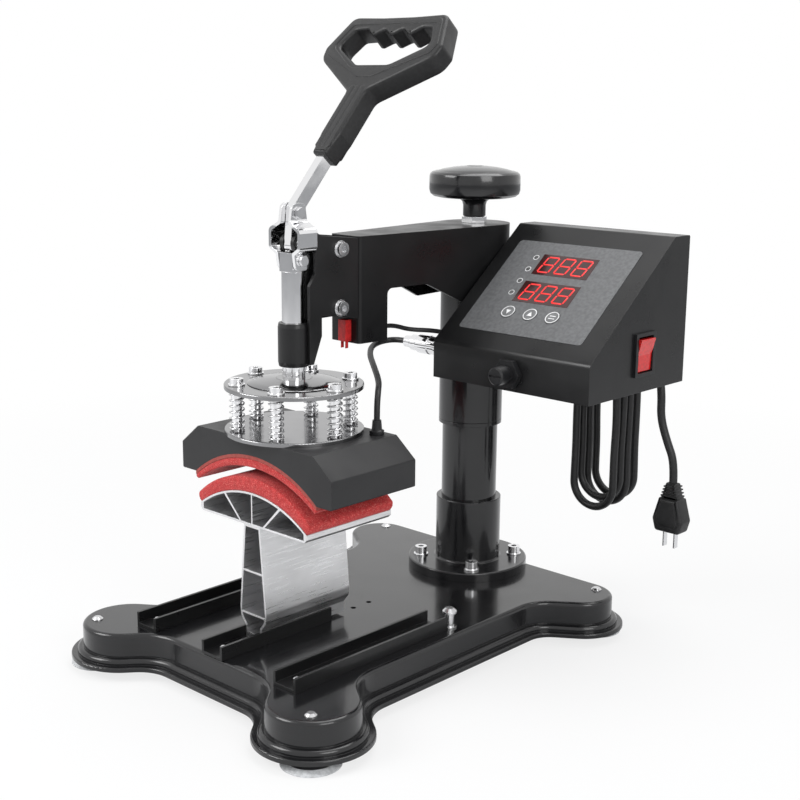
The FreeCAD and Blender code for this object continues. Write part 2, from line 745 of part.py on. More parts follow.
def make_feet():
    cups = []
    rings = []
    screws = []
    stem_top = deck - S.pan_wall
    bore = S.foot_screw_radius + 0.2
    head = S.foot_head_radius
    for i, (x, y) in enumerate(foot_spots()):
        at = (cx + x, cy + y, 0)
        low = S.foot_cup_height
        cups.append(turned(f"foot_cup_{i}", at, [
            (0, low), (S.foot_cup_radius, low), (S.foot_cup_radius - 5, S.pan_rim_height - 0.5),
            (S.foot_stem_radius + 1.5, S.pan_rim_height), (S.foot_stem_radius, S.pan_rim_height + 2), (S.foot_stem_radius, stem_top),
            (bore, stem_top), (bore, stem_top - S.foot_screw_length), (0, stem_top - S.foot_screw_length)]))
        rings.append(turned(f"foot_ring_{i}", at, [
            (S.foot_ring_bore, 0), (S.foot_ring_radius, 0), (S.foot_ring_radius, 1.2),
            (S.foot_cup_radius, low), (S.foot_ring_bore, low)]))
        screws.append(turned(f"foot_screw_{i}", (cx + x, cy + y, deck), [
            (0, S.foot_head_height), (head - 2, S.foot_head_height), (head, 0.8), (head, 0),
            (S.foot_screw_radius, 0), (S.foot_screw_radius, -S.foot_screw_length),
            (0, -S.foot_screw_length)]))
    group("foot_cups", cups)
    group("foot_rings", rings)
    group("foot_screws", screws)


# Column: flanged socket, tube and its threaded plug

def make_column():
    bore = S.column_radius
    flange = turned("column_flange", (cx, cy, deck), [
        (bore, 0), (S.flange_radius, 0), (S.flange_radius, S.flange_depth, 1.5),
        (S.socket_radius, S.flange_depth, 2.5), (S.socket_radius, S.socket_top_up, 1.0),
        (bore, S.socket_top_up)])
    holes = sketch(flange, "XY", S.flange_depth)
    for x, y in flange_spots():
        circle(holes, x, y, S.flange_bolt_radius + S.flange_hole_gap)
    pocket(flange, holes, S.flange_depth + 1)
    keep("column_flange", flange)
    tube_bore = S.column_radius - S.column_wall
    column = turned("column_tube", (cx, cy, deck), [
        (tube_bore, 0), (S.column_radius, 0), (S.column_radius, S.column_height, 1.0),
        (tube_bore, S.column_height)])
    keep("column_tube", column)
    plug_low = S.column_height - S.column_nut_depth
    keep("column_nut", turned("column_nut", (cx, cy, deck), [
        (S.screw_radius + S.screw_gap, plug_low), (tube_bore, plug_low),
        (tube_bore, S.column_height), (S.screw_radius + S.screw_gap, S.column_height)]))
    bolts = []
    for i, (x, y) in enumerate(flange_spots()):
        seat = deck + S.flange_depth + S.flange_washer_depth
        head = rod(f"flange_head_{i}", (cx + x, cy + y, seat), S.flange_head_radius, S.flange_head_height)
        shank_length = S.flange_depth + S.flange_washer_depth + S.pan_wall + S.nut_depth + 2
        shank = rod(f"flange_shank_{i}", (cx + x, cy + y, seat - shank_length), S.flange_bolt_radius,
                    shank_length)
        key = hexagon(f"flange_key_{i}", (cx + x, cy + y, seat + S.flange_head_height - S.hex_key_depth),
                      S.hex_key_radius, S.hex_key_depth)
        washer = rod(f"flange_washer_{i}", (cx + x, cy + y, deck + S.flange_depth),
                     S.flange_washer_radius, S.flange_washer_depth)
        nut = hexagon(f"flange_nut_{i}", (cx + x, cy + y, deck - S.pan_wall - S.nut_depth),
                      S.flange_nut_radius, S.nut_depth)
        whole = fuse(f"flange_bolt_solid_{i}", [head, shank, washer, nut])
        bolts.append(cut(f"flange_bolt_{i}", whole, key))
    group("flange_bolts", bolts)


# Channels that the press's tools slide into

def channel(name, x, rear_y):
    half = S.channel_width / 2
    inside = half - S.channel_wall
    return prism(name, (cx + x, cy - rear_y, deck), "XZ", [
        (-half, 0), (half, 0), (half, S.channel_depth), (inside, S.channel_depth),
        (inside, S.channel_wall), (-inside, S.channel_wall), (-inside, S.channel_depth),
        (-half, S.channel_depth)], S.channel_front_y - rear_y)


def make_channels():
    group("tool_channels", [
        channel("left_channel", -S.side_channel_x, S.side_channel_rear_y),
        channel("centre_channel", 0, S.centre_channel_rear_y),
        channel("right_channel", S.side_channel_x, S.side_channel_rear_y)])
    screws = []
    offset = S.channel_width / 2 - S.channel_wall - S.stop_head_radius - S.running_gap
    for i in (-1, 0, 1):
        at = (cx + i * S.side_channel_x + offset, cy - S.channel_front_y + S.stop_screw_inset,
              deck + S.channel_wall)
        screws.append(turned(f"stop_screw_{i + 1}", at, [
            (0, 0), (S.stop_screw_radius, 0), (S.stop_screw_radius, S.stop_screw_height - 3),
            (S.stop_head_radius, S.stop_screw_height - 3), (S.stop_head_radius, S.stop_screw_height - 1),
            (S.stop_head_radius - 1.2, S.stop_screw_height), (0, S.stop_screw_height)]))
    group("stop_screws", screws)
    neck = S.locating_height - S.locating_head_depth
    keep("locating_screw", turned("locating_screw", (cx + S.locating_x, cy - S.locating_y, deck), [
        (0, 0), (S.locating_head_radius, 0), (S.locating_head_radius, 1.5), (S.locating_radius, 1.5),
        (S.locating_radius, neck), (S.locating_head_radius, neck),
        (S.locating_head_radius, neck + 2), (S.locating_head_radius - 3, S.locating_height),
        (0, S.locating_height)]))


# Swivel: bush on the column, sleeve on the arm, knob and lift screw

def make_swivel():
    bore = S.column_radius + S.running_gap
    outside = bore + S.bush_wall
    sleeve_bore = outside + S.running_gap
    sleeve_outside = sleeve_bore + S.sleeve_wall
    flange_top = S.bush_flange_up + S.bush_flange_depth
    plate_up = S.arm_top_up - S.arm_wall
    keep("swivel_bush", turned("swivel_bush", (cx, cy, deck), [
        (bore, S.bush_flange_up), (sleeve_outside, S.bush_flange_up), (sleeve_outside, flange_top),
        (outside, flange_top), (outside, plate_up - S.running_gap), (bore, plate_up - S.running_gap)]))
    keep("swivel_sleeve", turned("swivel_sleeve", (cx, cy, deck), [
        (sleeve_bore, flange_top + S.running_gap), (sleeve_outside, flange_top + S.running_gap),
        (sleeve_outside, plate_up), (sleeve_bore, plate_up)]))
    nut_up = deck + S.arm_top_up + S.running_gap
    nut = hexagon("thrust_nut_body", (cx, cy, nut_up), S.thrust_nut_radius, S.thrust_nut_depth)
    bore_tool = rod("thrust_nut_bore", (cx, cy, nut_up), S.screw_radius + S.screw_gap, S.thrust_nut_depth)
    keep("thrust_nut", cut("thrust_nut", nut, bore_tool))
    hub_up = S.arm_top_up + S.running_gap * 2 + S.thrust_nut_depth
    keep("lift_screw", rod("lift_screw", (cx, cy, deck + S.screw_bottom_up), S.screw_radius,
                           hub_up - S.screw_bottom_up))
    rim_low = S.knob_hub_depth
    rim_top = S.knob_hub_depth + S.knob_rim_depth
    keep("pressure_knob", turned("pressure_knob", (cx, cy, deck + hub_up), [
        (0, 0), (S.knob_hub_radius - 1, 0), (S.knob_hub_radius, 1), (S.knob_hub_radius, rim_low - 4),
        (S.knob_hub_radius + 5, rim_low), (S.knob_radius - 3, rim_low), (S.knob_radius, rim_low + 4, 4),
        (S.knob_radius, rim_top - 4, 3), (S.knob_radius - 4, rim_top, 2),
        (S.knob_radius * 0.5, rim_top + S.knob_dome * 0.6), (0, rim_top + S.knob_dome)]))


def sleeve_outside():
    return S.column_radius + S.running_gap * 2 + S.bush_wall + S.sleeve_wall


# Arm: a folded plate that wraps the swivel sleeve and runs forward to its post

def make_arm():
    arm = body("arm_shell", (cx, cy, deck))
    barrel = sleeve_outside() + S.arm_wall + 0.2
    corner = S.arm_corner_radius
    nose_x = S.arm_front_half - corner
    nose_y = -(S.arm_front_y - corner)
    plan = [(-nose_x, nose_y, corner, 1), (nose_x, nose_y, corner, 1), (cx - cx, cx - cx, barrel, 1)]
    shell = sketch(arm, "XY", S.arm_drop_up)
    belt(shell, plan)
    pad(arm, shell, S.arm_top_up - S.arm_drop_up)
    side = sketch(arm, "YZ", -S.box_left_x * 2)
    below = S.arm_drop_up - 5
    outline(side, [
        (-S.arm_drop_rear_y, below), (60, below), (60, S.arm_barrel_up),
        (-S.arm_slope_rear_y, S.arm_barrel_up), (-S.arm_cut_rear_y, S.arm_cut_up, 20),
        (-S.arm_drop_rear_y, S.arm_cut_up, 6)])
    pocket(arm, side, S.box_left_x * 4, True)
    inside = sketch(arm, "XY", S.arm_drop_up)
    belt(inside, plan, -S.arm_wall)
    pocket(arm, inside, S.arm_top_up - S.arm_drop_up - S.arm_wall, True)
    hole = sketch(arm, "XY", S.arm_top_up)
    circle(hole, 0, 0, S.screw_radius + 1)
    pocket(arm, hole, S.arm_wall * 2)
    block_low = S.bracket_bolt_low_up - 8
    nose = sketch(arm, "XY", block_low)
    web_y = -(S.head_reach - S.sleeve_radius - S.running_gap - S.cheek_wall - S.running_gap)
    half = cheek_inside() - 1
    outline(nose, [(-half, web_y), (half, web_y), (half, -S.arm_front_y + 1), (-half, -S.arm_front_y + 1)])
    pad(arm, nose, S.arm_top_up - 2 - block_low)
    doc.recompute()
    keep("arm_shell", arm)


def cheek_inside():
    return S.sleeve_radius + 0.2


def make_bracket():
    inside = cheek_inside()
    rear = -(S.arm_front_y + S.cheek_rear_gap)
    front = -(S.head_reach - 3.3)
    step = -(S.head_reach - 11.3)
    web_back = -(S.head_reach - S.sleeve_radius - S.running_gap - S.cheek_wall)
    low = S.sleeve_bottom_up + 2
    corners = [
        (rear, 301), (rear, S.arm_top_up - 1.5), (web_back, 384), (step, 388), (step, 350), (front, 338),
        (front, low), (front + 5, low), (web_back, 290), (web_back, 309.4), (-216, 305.6)]
    cheeks = []
    for i, x in enumerate((-inside - S.cheek_wall, inside)):
        cheeks.append(prism(f"bracket_cheek_{i}", (cx + x, cy, deck), "YZ", corners, S.cheek_wall))
    web_front = -(S.head_reach - S.sleeve_radius - S.running_gap)
    web = block("bracket_web", (cx - inside, cy + web_front, deck + 290),
                (inside * 2, S.cheek_wall, S.arm_top_up - 290))
    ears = []
    ear_in = S.lever_wall / 2 + 0.6
    for i, x in enumerate((-ear_in - S.ear_wall, ear_in)):
        ears.append(rod(f"ear_round_{i}", (cx + x, head_y, deck + S.fulcrum_up), S.ear_radius,
                        S.ear_wall, "x"))
        ears.append(block(f"ear_root_{i}", (cx + x, head_y, deck + S.fulcrum_up - S.ear_radius),
                          (S.ear_wall, S.sleeve_radius + 1, S.ear_radius * 2)))
    solid = fuse("bracket_solid", cheeks + [web] + ears)
    tools = [rod("fulcrum_bore", (cx - inside, head_y, deck + S.fulcrum_up),
                 S.pin_radius, inside * 2, "x")]
    for i, up in enumerate((S.bracket_bolt_high_up, S.bracket_bolt_low_up)):
        tools.append(rod(f"bracket_bolt_hole_{i}", (cx - 40, cy - S.bracket_bolt_y, deck + up),
                         S.bracket_bolt_radius + S.pin_gap, 80, "x"))
    bores = fuse("bracket_bores", tools)
    keep("front_bracket", cut("front_bracket", solid, bores))
    sleeve_at = (cx, head_y, deck)
    bore = S.plunger_radius + S.running_gap
    keep("guide_sleeve", turned("guide_sleeve", sleeve_at, [
        (bore, S.sleeve_bottom_up), (S.sleeve_radius - 0.8, S.sleeve_bottom_up),
        (S.sleeve_radius, S.sleeve_bottom_up + 4), (S.sleeve_radius, S.sleeve_top_up - 4),
        (S.sleeve_radius - 0.8, S.sleeve_top_up), (bore, S.sleeve_top_up)]))
    reach = ear_in + S.ear_wall
    ends = [rod("fulcrum_pin_shank", (cx - reach, head_y, deck + S.fulcrum_up), S.pin_radius, reach * 2, "x"),
            rod("fulcrum_pin_head", (cx + reach, head_y, deck + S.fulcrum_up), S.pin_head_radius,
                S.pin_head_depth, "x"),
            rod("fulcrum_pin_clip", (cx - reach - S.pin_head_depth, head_y, deck + S.fulcrum_up),
                S.pin_head_radius, S.pin_head_depth, "x")]
    keep("fulcrum_pin", fuse("fulcrum_pin", ends))
    outer = inside + S.cheek_wall
    bolts = []
    for i, up in enumerate((S.bracket_bolt_high_up, S.bracket_bolt_low_up)):
        at_y, at_z = cy - S.bracket_bolt_y, deck + up
        pieces = []
        for side, x in ((1, outer), (-1, -outer)):
            along = "x" if side > 0 else "-x"
            pieces.append(rod(f"bracket_washer_{i}_{side + 1}", (cx + x, at_y, at_z),
                              S.bracket_head_radius + 1.5, 1.2, along))
            pieces.append(rod(f"bracket_head_{i}_{side + 1}", (cx + x, at_y, at_z),
                              S.bracket_head_radius, S.bracket_head_depth, along))
        pieces.append(rod(f"bracket_shank_{i}", (cx - outer, at_y, at_z), S.bracket_bolt_radius,
                          outer * 2, "x"))
        key = hexagon(f"bracket_key_{i}", (cx + outer + S.bracket_head_depth - 3, at_y, at_z), 3.2, 3, "x")
        bolts.append(cut(f"bracket_bolt_{i}", fuse(f"bracket_bolt_solid_{i}", pieces), key))
    group("bracket_bolts", bolts)


def drill_arm():
    """Cut the bracket bolts' holes through the arm's nose block."""
    arm = parts["arm_shell"]
    made = sketch(arm, "YZ", -S.arm_front_half * 2)
    for up in (S.bracket_bolt_high_up, S.bracket_bolt_low_up):
        circle(made, -S.bracket_bolt_y, up, S.bracket_bolt_radius + S.pin_gap)
    pocket(arm, made, S.arm_front_half * 4, True)


def make_microswitch():
    low = deck + S.arm_drop_up + 2
    front = cy - S.arm_front_y - S.switch_depth
    case = block("microswitch_case", (cx + 4 - S.switch_width / 2, front, low),
                 (S.switch_width, S.switch_depth, S.switch_height))
    tabs = []
    for i in (-1, 1):
        tabs.append(block(f"microswitch_tab_{i + 1}", (cx + 4 + i * 3 - 0.4, front + 2, low - 7),
                          (0.8, 3.5, 7)))
    keep("microswitch", fuse("microswitch", [case] + tabs))


# Lever: bar, crank pin and grip

def make_lever():
    at = (cx - S.lever_wall / 2, cy, deck)
    lean_y, lean_z = cosine(S.lever_lean), sine(S.lever_lean)
    half = S.lever_depth / 2
    crank_up = S.fulcrum_up + S.crank_radius
    axis_y = -S.head_reach
    end_y = axis_y + lean_y * S.lever_length
    end_z = crank_up + lean_z * S.lever_length
    boss = S.lever_boss_radius
    over_y, over_z = lean_z * half, lean_y * half
    bar = prism("lever_blank", at, "YZ", [
        (axis_y - boss, S.fulcrum_up - boss, boss * 0.7), (axis_y + boss, S.fulcrum_up - boss, boss * 0.7),
        (axis_y + over_y + lean_y * 3, crank_up - over_z + lean_z * 3, 5), (end_y + over_y, end_z - over_z),
        (end_y - over_y, end_z + over_z), (axis_y - over_y + lean_y * 2, crank_up + over_z + lean_z * 2, 5)],
        S.lever_wall)
    bores = fuse("lever_bores", [
        rod("lever_fulcrum_bore", (cx - 20, head_y, deck + S.fulcrum_up), S.pin_radius + S.pin_gap, 40, "x"),
        rod("lever_crank_bore", (cx - 20, head_y, deck + crank_up), S.crank_pin_radius, 40, "x")])
    keep("lever_bar", cut("lever_bar", bar, bores))
    reach = S.lever_wall / 2 + 0.6 + S.link_wall
    pin_at = deck + crank_up
    keep("crank_pin", fuse("crank_pin", [
        rod("crank_shank", (cx - reach - 0.4, head_y, pin_at), S.crank_pin_radius, reach * 2 + 0.8, "x"),
        hexagon("crank_head", (cx + reach + 0.4, head_y, pin_at), S.crank_head_radius, 3.5, "x"),
        hexagon("crank_nut", (cx - reach - 0.4, head_y, pin_at), S.crank_head_radius, 3.5, "-x")]))
    make_grip(crank_up, lean_y, lean_z)


def make_grip(crank_up, lean_y, lean_z):
    neck = S.grip_start + S.grip_neck_length
    at = (cx, head_y + lean_y * neck, deck + crank_up + lean_z * neck)
    grip = tilt(body("lever_grip_blank"), at, S.lever_lean)
    made = sketch(grip, "XY", -S.grip_depth / 2)
    tail = -S.grip_neck_length
    neck_half = S.grip_neck_half
    outline(made, [
        (-S.grip_tail_half, tail), (S.grip_tail_half, tail), (neck_half, tail + 24), (neck_half, -18, 8),
        (S.grip_wide_half, 22, 12), (S.grip_wide_half, S.grip_wide_up, 8),
        (S.grip_top_half, S.grip_top, 10), (-S.grip_top_half, S.grip_top, 10),
        (-S.grip_wide_half, S.grip_wide_up, 8), (-S.grip_wide_half, 22, 12), (-neck_half, -18, 8),
        (-neck_half, tail + 24)])
    pad(grip, made, S.grip_depth)
    hole = sketch(grip, "XY", S.grip_depth / 2)
    top, half = S.grip_hole_top, S.grip_hole_top_half
    finger = -S.finger_radius
    outline(hole, [
        (-S.grip_hole_low_half, S.grip_hole_low, 8), (S.grip_hole_low_half, S.grip_hole_low, 8),
        (S.grip_hole_half, S.grip_hole_up, 7), (half, top),
        (half * 0.75, top, "arc", finger * -1),
        (half * 0.25, top, "arc", finger * -1), (half * -0.25, top, "arc", finger * -1),
        (-half * 0.75, top), (-half, top), (-S.grip_hole_half, S.grip_hole_up, 7)])
    pocket(grip, hole, S.grip_depth)
    bar_at = (cx - S.lever_wall / 2, head_y, deck + crank_up)
    slot = tilt(doc.addObject("Part::Box", "grip_slot"), bar_at, S.lever_lean)
    size(slot, "Length", S.lever_wall)
    size(slot, "Width", S.lever_length)
    size(slot, "Height", S.lever_depth)
    shift_y = head_y + lean_z * (S.lever_depth / 2)
    shift_z = deck + crank_up - lean_y * (S.lever_depth / 2)
    tilt(slot, (cx - S.lever_wall / 2, shift_y, shift_z), S.lever_lean)
    keep("lever_grip", cut("lever_grip", grip, slot))


# Links: two bowed straps from the crank pin to the plunger's pin

def make_links():
    crank_up = S.fulcrum_up + S.crank_radius
    pin_up = crank_up - S.link_length
    half = S.link_depth / 2
    wall = S.link_wall
    top_in = S.lever_wall / 2 + 0.6
    foot_in = S.block_half + 0.5
    bow_in = S.link_bow - wall
    links = []
    for i, side in enumerate((-1, 1)):
        strap = prism(f"link_strap_{i}", (cx, head_y + half, deck), "XZ", [
            (side * top_in, crank_up + 9), (side * top_in, crank_up - 9.8, 3),
            (side * bow_in, crank_up - 16.8, 3), (side * bow_in, pin_up + 12.5, 3),
            (side * foot_in, pin_up + 7.5, 2), (side * foot_in, pin_up - 9),
            (side * (foot_in + wall), pin_up - 9), (side * (foot_in + wall), pin_up + 5.7, 2),
            (side * S.link_bow, pin_up + 10.7, 5), (side * S.link_bow, crank_up - 14.8, 5),
            (side * (top_in + wall), crank_up - 7.8, 3), (side * (top_in + wall), crank_up + 9)],
            S.link_depth)
        form = prism(f"link_form_{i}", (cx - S.link_bow * 2, head_y, deck), "YZ", [
            (-8, pin_up - 9, 6), (8, pin_up - 9, 6), (half, pin_up + 12, 8), (half, crank_up - 12, 8),
            (8, crank_up + 9, 6), (-8, crank_up + 9, 6), (-half, crank_up - 12, 8),
            (-half, pin_up + 12, 8)], S.link_bow * 4)
        shaped = common(f"link_shape_{i}", strap, form)
        bores = fuse(f"link_bores_{i}", [
            rod(f"link_bore_top_{i}", (cx - 30, head_y, deck + crank_up), S.crank_pin_radius + S.pin_gap,
                60, "x"),
            rod(f"link_bore_foot_{i}", (cx - 30, head_y, deck + pin_up), S.pin_radius, 60, "x")])
        links.append(cut(f"toggle_link_{i}", shaped, bores))
    group("toggle_links", links)


# Plunger: block, pin, tube and the upper disc

def make_plunger():
    block_low = S.block_top_up - S.block_depth
    tube_low = S.top_disc_up
    at = (cx, head_y, deck)
    keep("plunger_tube", turned("plunger_tube", at, [
        (S.plunger_bore, tube_low), (S.plunger_radius, tube_low), (S.plunger_radius, block_low),
        (S.plunger_bore, block_low)]))
    half = S.block_half
    cube = block("plunger_cube", (cx - half, head_y - half, deck + block_low),
                 (half * 2, half * 2, S.block_depth))
    pin_up = S.fulcrum_up + S.crank_radius - S.link_length
    bore = block("plunger_pin_slot", (cx - half, head_y - S.slot_half, deck + pin_up - S.slot_low),
                 (half * 2, S.slot_half * 2, S.slot_low + S.slot_high))
    keep("plunger_block", cut("plunger_block", cube, bore))
    reach = half + 0.5 + S.link_wall + 0.4
    keep("plunger_pin", fuse("plunger_pin", [
        rod("plunger_pin_shank", (cx - reach, head_y, deck + pin_up), S.pin_radius, reach * 2, "x"),
        rod("plunger_pin_head", (cx + reach, head_y, deck + pin_up), S.plunger_pin_head_radius, 3, "x"),
        rod("plunger_pin_clip", (cx - reach, head_y, deck + pin_up), S.plunger_pin_head_radius, 3, "-x")]))
    disc_low = S.top_disc_up - S.disc_depth
    disc = turned("top_disc_blank", at, [
        (0, disc_low), (S.disc_radius, disc_low), (S.disc_radius, S.top_disc_up, 1), (0, S.top_disc_up)])
    holes = sketch(disc, "XY", S.top_disc_up)
    for x, y in rod_spots():
        circle(holes, x, y, S.rod_radius + S.rod_gap)
    pocket(disc, holes, S.disc_depth * 2)
    collar = tube("top_disc_collar", (cx, head_y, deck + S.top_disc_up), S.collar_radius,
                  S.plunger_radius + 0.05, S.collar_depth)
    keep("top_disc", fuse("top_disc", [disc, collar]))


def rod_spots():
    return [(S.rod_circle * cosine(60 * i), S.rod_circle * sine(60 * i)) for i in range(6)]


# Platen: lower disc, spring rods, springs, housing, heating mat and pad

def arc_radius(half, rise):
    return (half * half + rise * rise) / (rise * 2)


def make_platen():
    disc_top = S.platen_top_up + S.disc_depth
    keep("lower_disc", turned("lower_disc", (cx, head_y, deck), [
        (0, S.platen_top_up), (S.disc_radius, S.platen_top_up), (S.disc_radius, disc_top, 1),
        (0, disc_top)]))
    rods = []
    springs = []
    washer_up = S.top_disc_up + 0.2
    head_up = washer_up + S.rod_washer_depth
    for i, (x, y) in enumerate(rod_spots()):
        at = (cx + x, head_y + y, deck)
        shank = rod(f"spring_shank_{i}", (at[0], at[1], deck + disc_top), S.rod_radius, head_up - disc_top)
        washer = rod(f"spring_washer_{i}", (at[0], at[1], deck + washer_up), S.rod_washer_radius,
                     S.rod_washer_depth)
        head = rod(f"spring_head_{i}", (at[0], at[1], deck + head_up), S.rod_head_radius, S.rod_head_depth)
        key = hexagon(f"spring_key_{i}", (at[0], at[1], deck + head_up + S.rod_head_depth - 3), 3, 3)
        rods.append(cut(f"spring_rod_{i}", fuse(f"spring_rod_solid_{i}", [shank, washer, head]), key))
        springs.append(make_spring(i, at, disc_top))
    group("spring_rods", rods)
    group("pressure_springs", springs)
    depth = S.platen_depth
    rear = (cx, cy - S.platen_rear_y, deck)
    half, arc = S.platen_half, S.platen_arc_half
    low = S.platen_bottom_up
    rise = S.platen_arc_up - low
    housing = prism("platen_housing", rear, "XZ", [
        (-half, low, 1.5), (-arc, low, "arc", -arc_radius(arc, rise)), (arc, low), (half, low, 1.5),
        (half, S.platen_shoulder_up, 2), (S.platen_top_half, S.platen_top_up, 2),
        (-S.platen_top_half, S.platen_top_up, 2), (-half, S.platen_shoulder_up, 2)], depth)
    keep("platen_housing", housing)
    mat_low = low - S.heater_wall
    mat_rise = S.platen_arc_up - S.heater_wall - mat_low
    mat = prism("heating_mat", rear, "XZ", [
        (-arc, mat_low, "arc", -arc_radius(arc, mat_rise)), (arc, mat_low),
        (arc, low, "arc", arc_radius(arc, rise)), (-arc, low)], depth)
    keep("heating_mat", mat)
    face_half = S.pad_arc_half
    face_low = low - S.pad_end_drop
    pad_body = prism("upper_pad", rear, "XZ", [
        (-face_half, face_low, "arc", -arc_radius(face_half, S.pad_face_up - face_low)),
        (face_half, face_low), (arc, mat_low, "arc", arc_radius(arc, mat_rise)), (-arc, mat_low)], depth)
    keep("upper_pad", pad_body)
    keep("cable_gland", turned("cable_gland", (cx + 66, cy - S.platen_rear_y - 12, deck + S.platen_top_up), [
        (0, 0), (7, 0), (7, 4), (5, 5), (S.cable_radius + 1.2, 14), (0, 14)]))


# Wound forms: springs and the hank

def arc_between(start, way, end):
    """An arc that leaves start along way and ends at end."""
    chord = end - start
    across = chord - way * chord.dot(way)
    if across.Length < 1e-6:
        return Part.LineSegment(start, end)
    across.normalize()
    angle = way.getAngle(chord)
    radius = chord.Length / (2 * math.sin(angle))
    centre = start + across * radius
    outward = (start - centre).normalize()
    middle = centre + (outward * math.cos(angle) + way * math.sin(angle)) * radius
    return Part.Arc(start, middle, end)


def biarc(start, way, end, end_way):
    """Two arcs that leave start along way and arrive at end along end_way."""
    span = end - start
    both = way + end_way
    bend = 2 * (1 - way.dot(end_way))
    reach = (math.sqrt(span.dot(both) ** 2 + bend * span.dot(span)) - span.dot(both)) / bend
    joint = (start + end + (way - end_way) * reach) * 0.5
    first = arc_between(start, way, joint)
    meet = ((end - end_way * reach) - (start + way * reach)).normalize()
    return [first, arc_between(joint, meet, end)]


def sweep(path, start, way, radius):
    wire = Part.Wire([p.toShape() for p in path])
    ring = Part.Wire([Part.Circle(start, way, radius).toShape()])
    shell = Part.BRepOffsetAPI.MakePipeShell(wire)
    shell.add(ring)
    shell.build()
    shell.makeSolid()
    return shell.shape()


def feature(name, shape, at):
    item = doc.addObject("Part::Feature", name)
    item.Shape = shape
    item.Placement = FreeCAD.Placement(V(*[number(c) for c in at]), FreeCAD.Rotation())
    return item


def make_spring(index, at, low):
    """A compression spring: a closed turn at each end and open turns between."""
    wire = S.spring_wire.value
    radius = S.spring_radius.value
    bottom = low.value + wire / 2 + 0.1
    top = S.top_disc_up.value - S.disc_depth.value - wire / 2 - 0.1
    closed = 1.0
    open_turns = 5.0
    closed_pitch = wire + 0.45
    open_pitch = (top - bottom - 2 * closed * closed_pitch) / open_turns

    def height(turn):
        if turn < closed:
            return bottom + turn * closed_pitch
        if turn > closed + open_turns:
            return top - (2 * closed + open_turns - turn) * closed_pitch
        return bottom + closed * closed_pitch + (turn - closed) * open_pitch

    def spot(turn):
        angle = 2 * math.pi * turn
        return V(radius * math.cos(angle), radius * math.sin(angle), height(turn))

    def way(turn):
        return (spot(turn + 0.005) - spot(turn - 0.005)).normalize()

    steps = int((2 * closed + open_turns) * 2)
    path = []
    for i in range(steps):
        path += biarc(spot(i / 2), way(i / 2), spot((i + 1) / 2), way((i + 1) / 2))
    shape = sweep(path, spot(0), way(0), wire / 2)
    if index == 0:
        print("spring: least gap to itself", least_gap(path, wire / 2, 0.8))
    return feature(f"pressure_spring_{index}", shape, at)


def least_gap(path, radius, step):
    """The least gap of a tube to itself, on points along its middle."""
    spots = []
    along = 0.0
    for piece in path:
        length = piece.length()
        count = max(1, int(length / step))
        first, last = piece.FirstParameter, piece.LastParameter
        for i in range(count):
            spots.append((along + length * i / count, piece.value(first + (last - first) * i / count)))
        along += length
    least = along
    for i, (here, a) in enumerate(spots):
        for there, b in spots[i + 1:]:
            if there - here > radius * 7:
                least = min(least, (a - b).Length)
    return round(least - radius * 2, 2)


def make_hank():
    """The tied hank: from the gland over to the farthest turn, then turn by turn nearer the box."""
    left, right = S.hank_left_x.value, S.hank_right_x.value
    far = S.hank_far_y.value
    radius = (right - left) / 2
    low = S.hank_bottom_up.value + S.cord_radius.value + radius
    top = S.hank_top_up.value
    places = [far] + [far - S.hank_first_pitch.value - i * S.hank_pitch.value for i in range(3)]
    lead = S.lead_radius.value
    exit_up = S.gland_up.value
    start = V(left, S.box_rear_y.value + S.gland_length.value, exit_up)
    bend = V(left, far - lead, exit_up)
    spot = V(left, far, exit_up - lead)
    corner = V(left, far - lead * (1 - math.sqrt(0.5)), exit_up - lead * (1 - math.sqrt(0.5)))
    path = [Part.LineSegment(start, bend), Part.Arc(bend, corner, spot)]
    for i, y in enumerate(places):
        path.append(Part.LineSegment(spot, V(left, y, low)))
        path.append(Part.Arc(V(left, y, low), V((left + right) / 2, y, low - radius), V(right, y, low)))
        path.append(Part.LineSegment(V(right, y, low), V(right, y, top)))
        if y != places[-1]:
            end = V(left, places[i + 1], top)
        else:
            end = V(S.tail_x.value, S.tail_y.value, top)
        over = (V(right, y, top) + end) * 0.5
        across = (end - V(right, y, top)).Length / 2
        path.append(Part.Arc(V(right, y, top), over + V(0, 0, across), end))
        spot = end
    shape = sweep(path, start, V(0, 1, 0), S.cord_radius.value)
    length = sum(p.length() for p in path)
    print("hank: length", round(length), "least gap to itself", least_gap(path, S.cord_radius.value, 3),
          "least radius", min(radius, lead))
    keep("cord_hank", feature("cord_hank", shape, (cx, cy, deck)))


def run_of(points, radius, name):
    """A cord's tube: straight runs joined by tangent arcs, each as large as its runs allow."""
    pieces = []
    radii = []
    spot = points[0]
    for before, here, after in zip(points, points[1:], points[2:]):
        back, on = (before - here), (after - here)
        shorter = min(back.Length, on.Length)
        back.normalize()
        on.normalize()
        cut_back = 0.45 * shorter
        turn = math.pi - back.getAngle(on)
        arc = cut_back / math.tan(turn / 2)
        radii.append(round(arc, 1))
        start, end = here + back * cut_back, here + on * cut_back
        inward = (back + on).normalize()
        middle = here + inward * (arc / math.cos(turn / 2) - arc)
        pieces.append(Part.LineSegment(spot, start))
        pieces.append(Part.Arc(start, middle, end))
        spot = end
    pieces.append(Part.LineSegment(spot, points[-1]))
    way = (points[1] - points[0]).normalize()
    shape = sweep(pieces, points[0], way, radius)
    length = sum(p.length() for p in pieces)
    share = shape.Volume / (math.pi * radius * radius * length)
    print(name, "length", round(length), "radii", radii, "volume share", round(share, 3))
    return shape


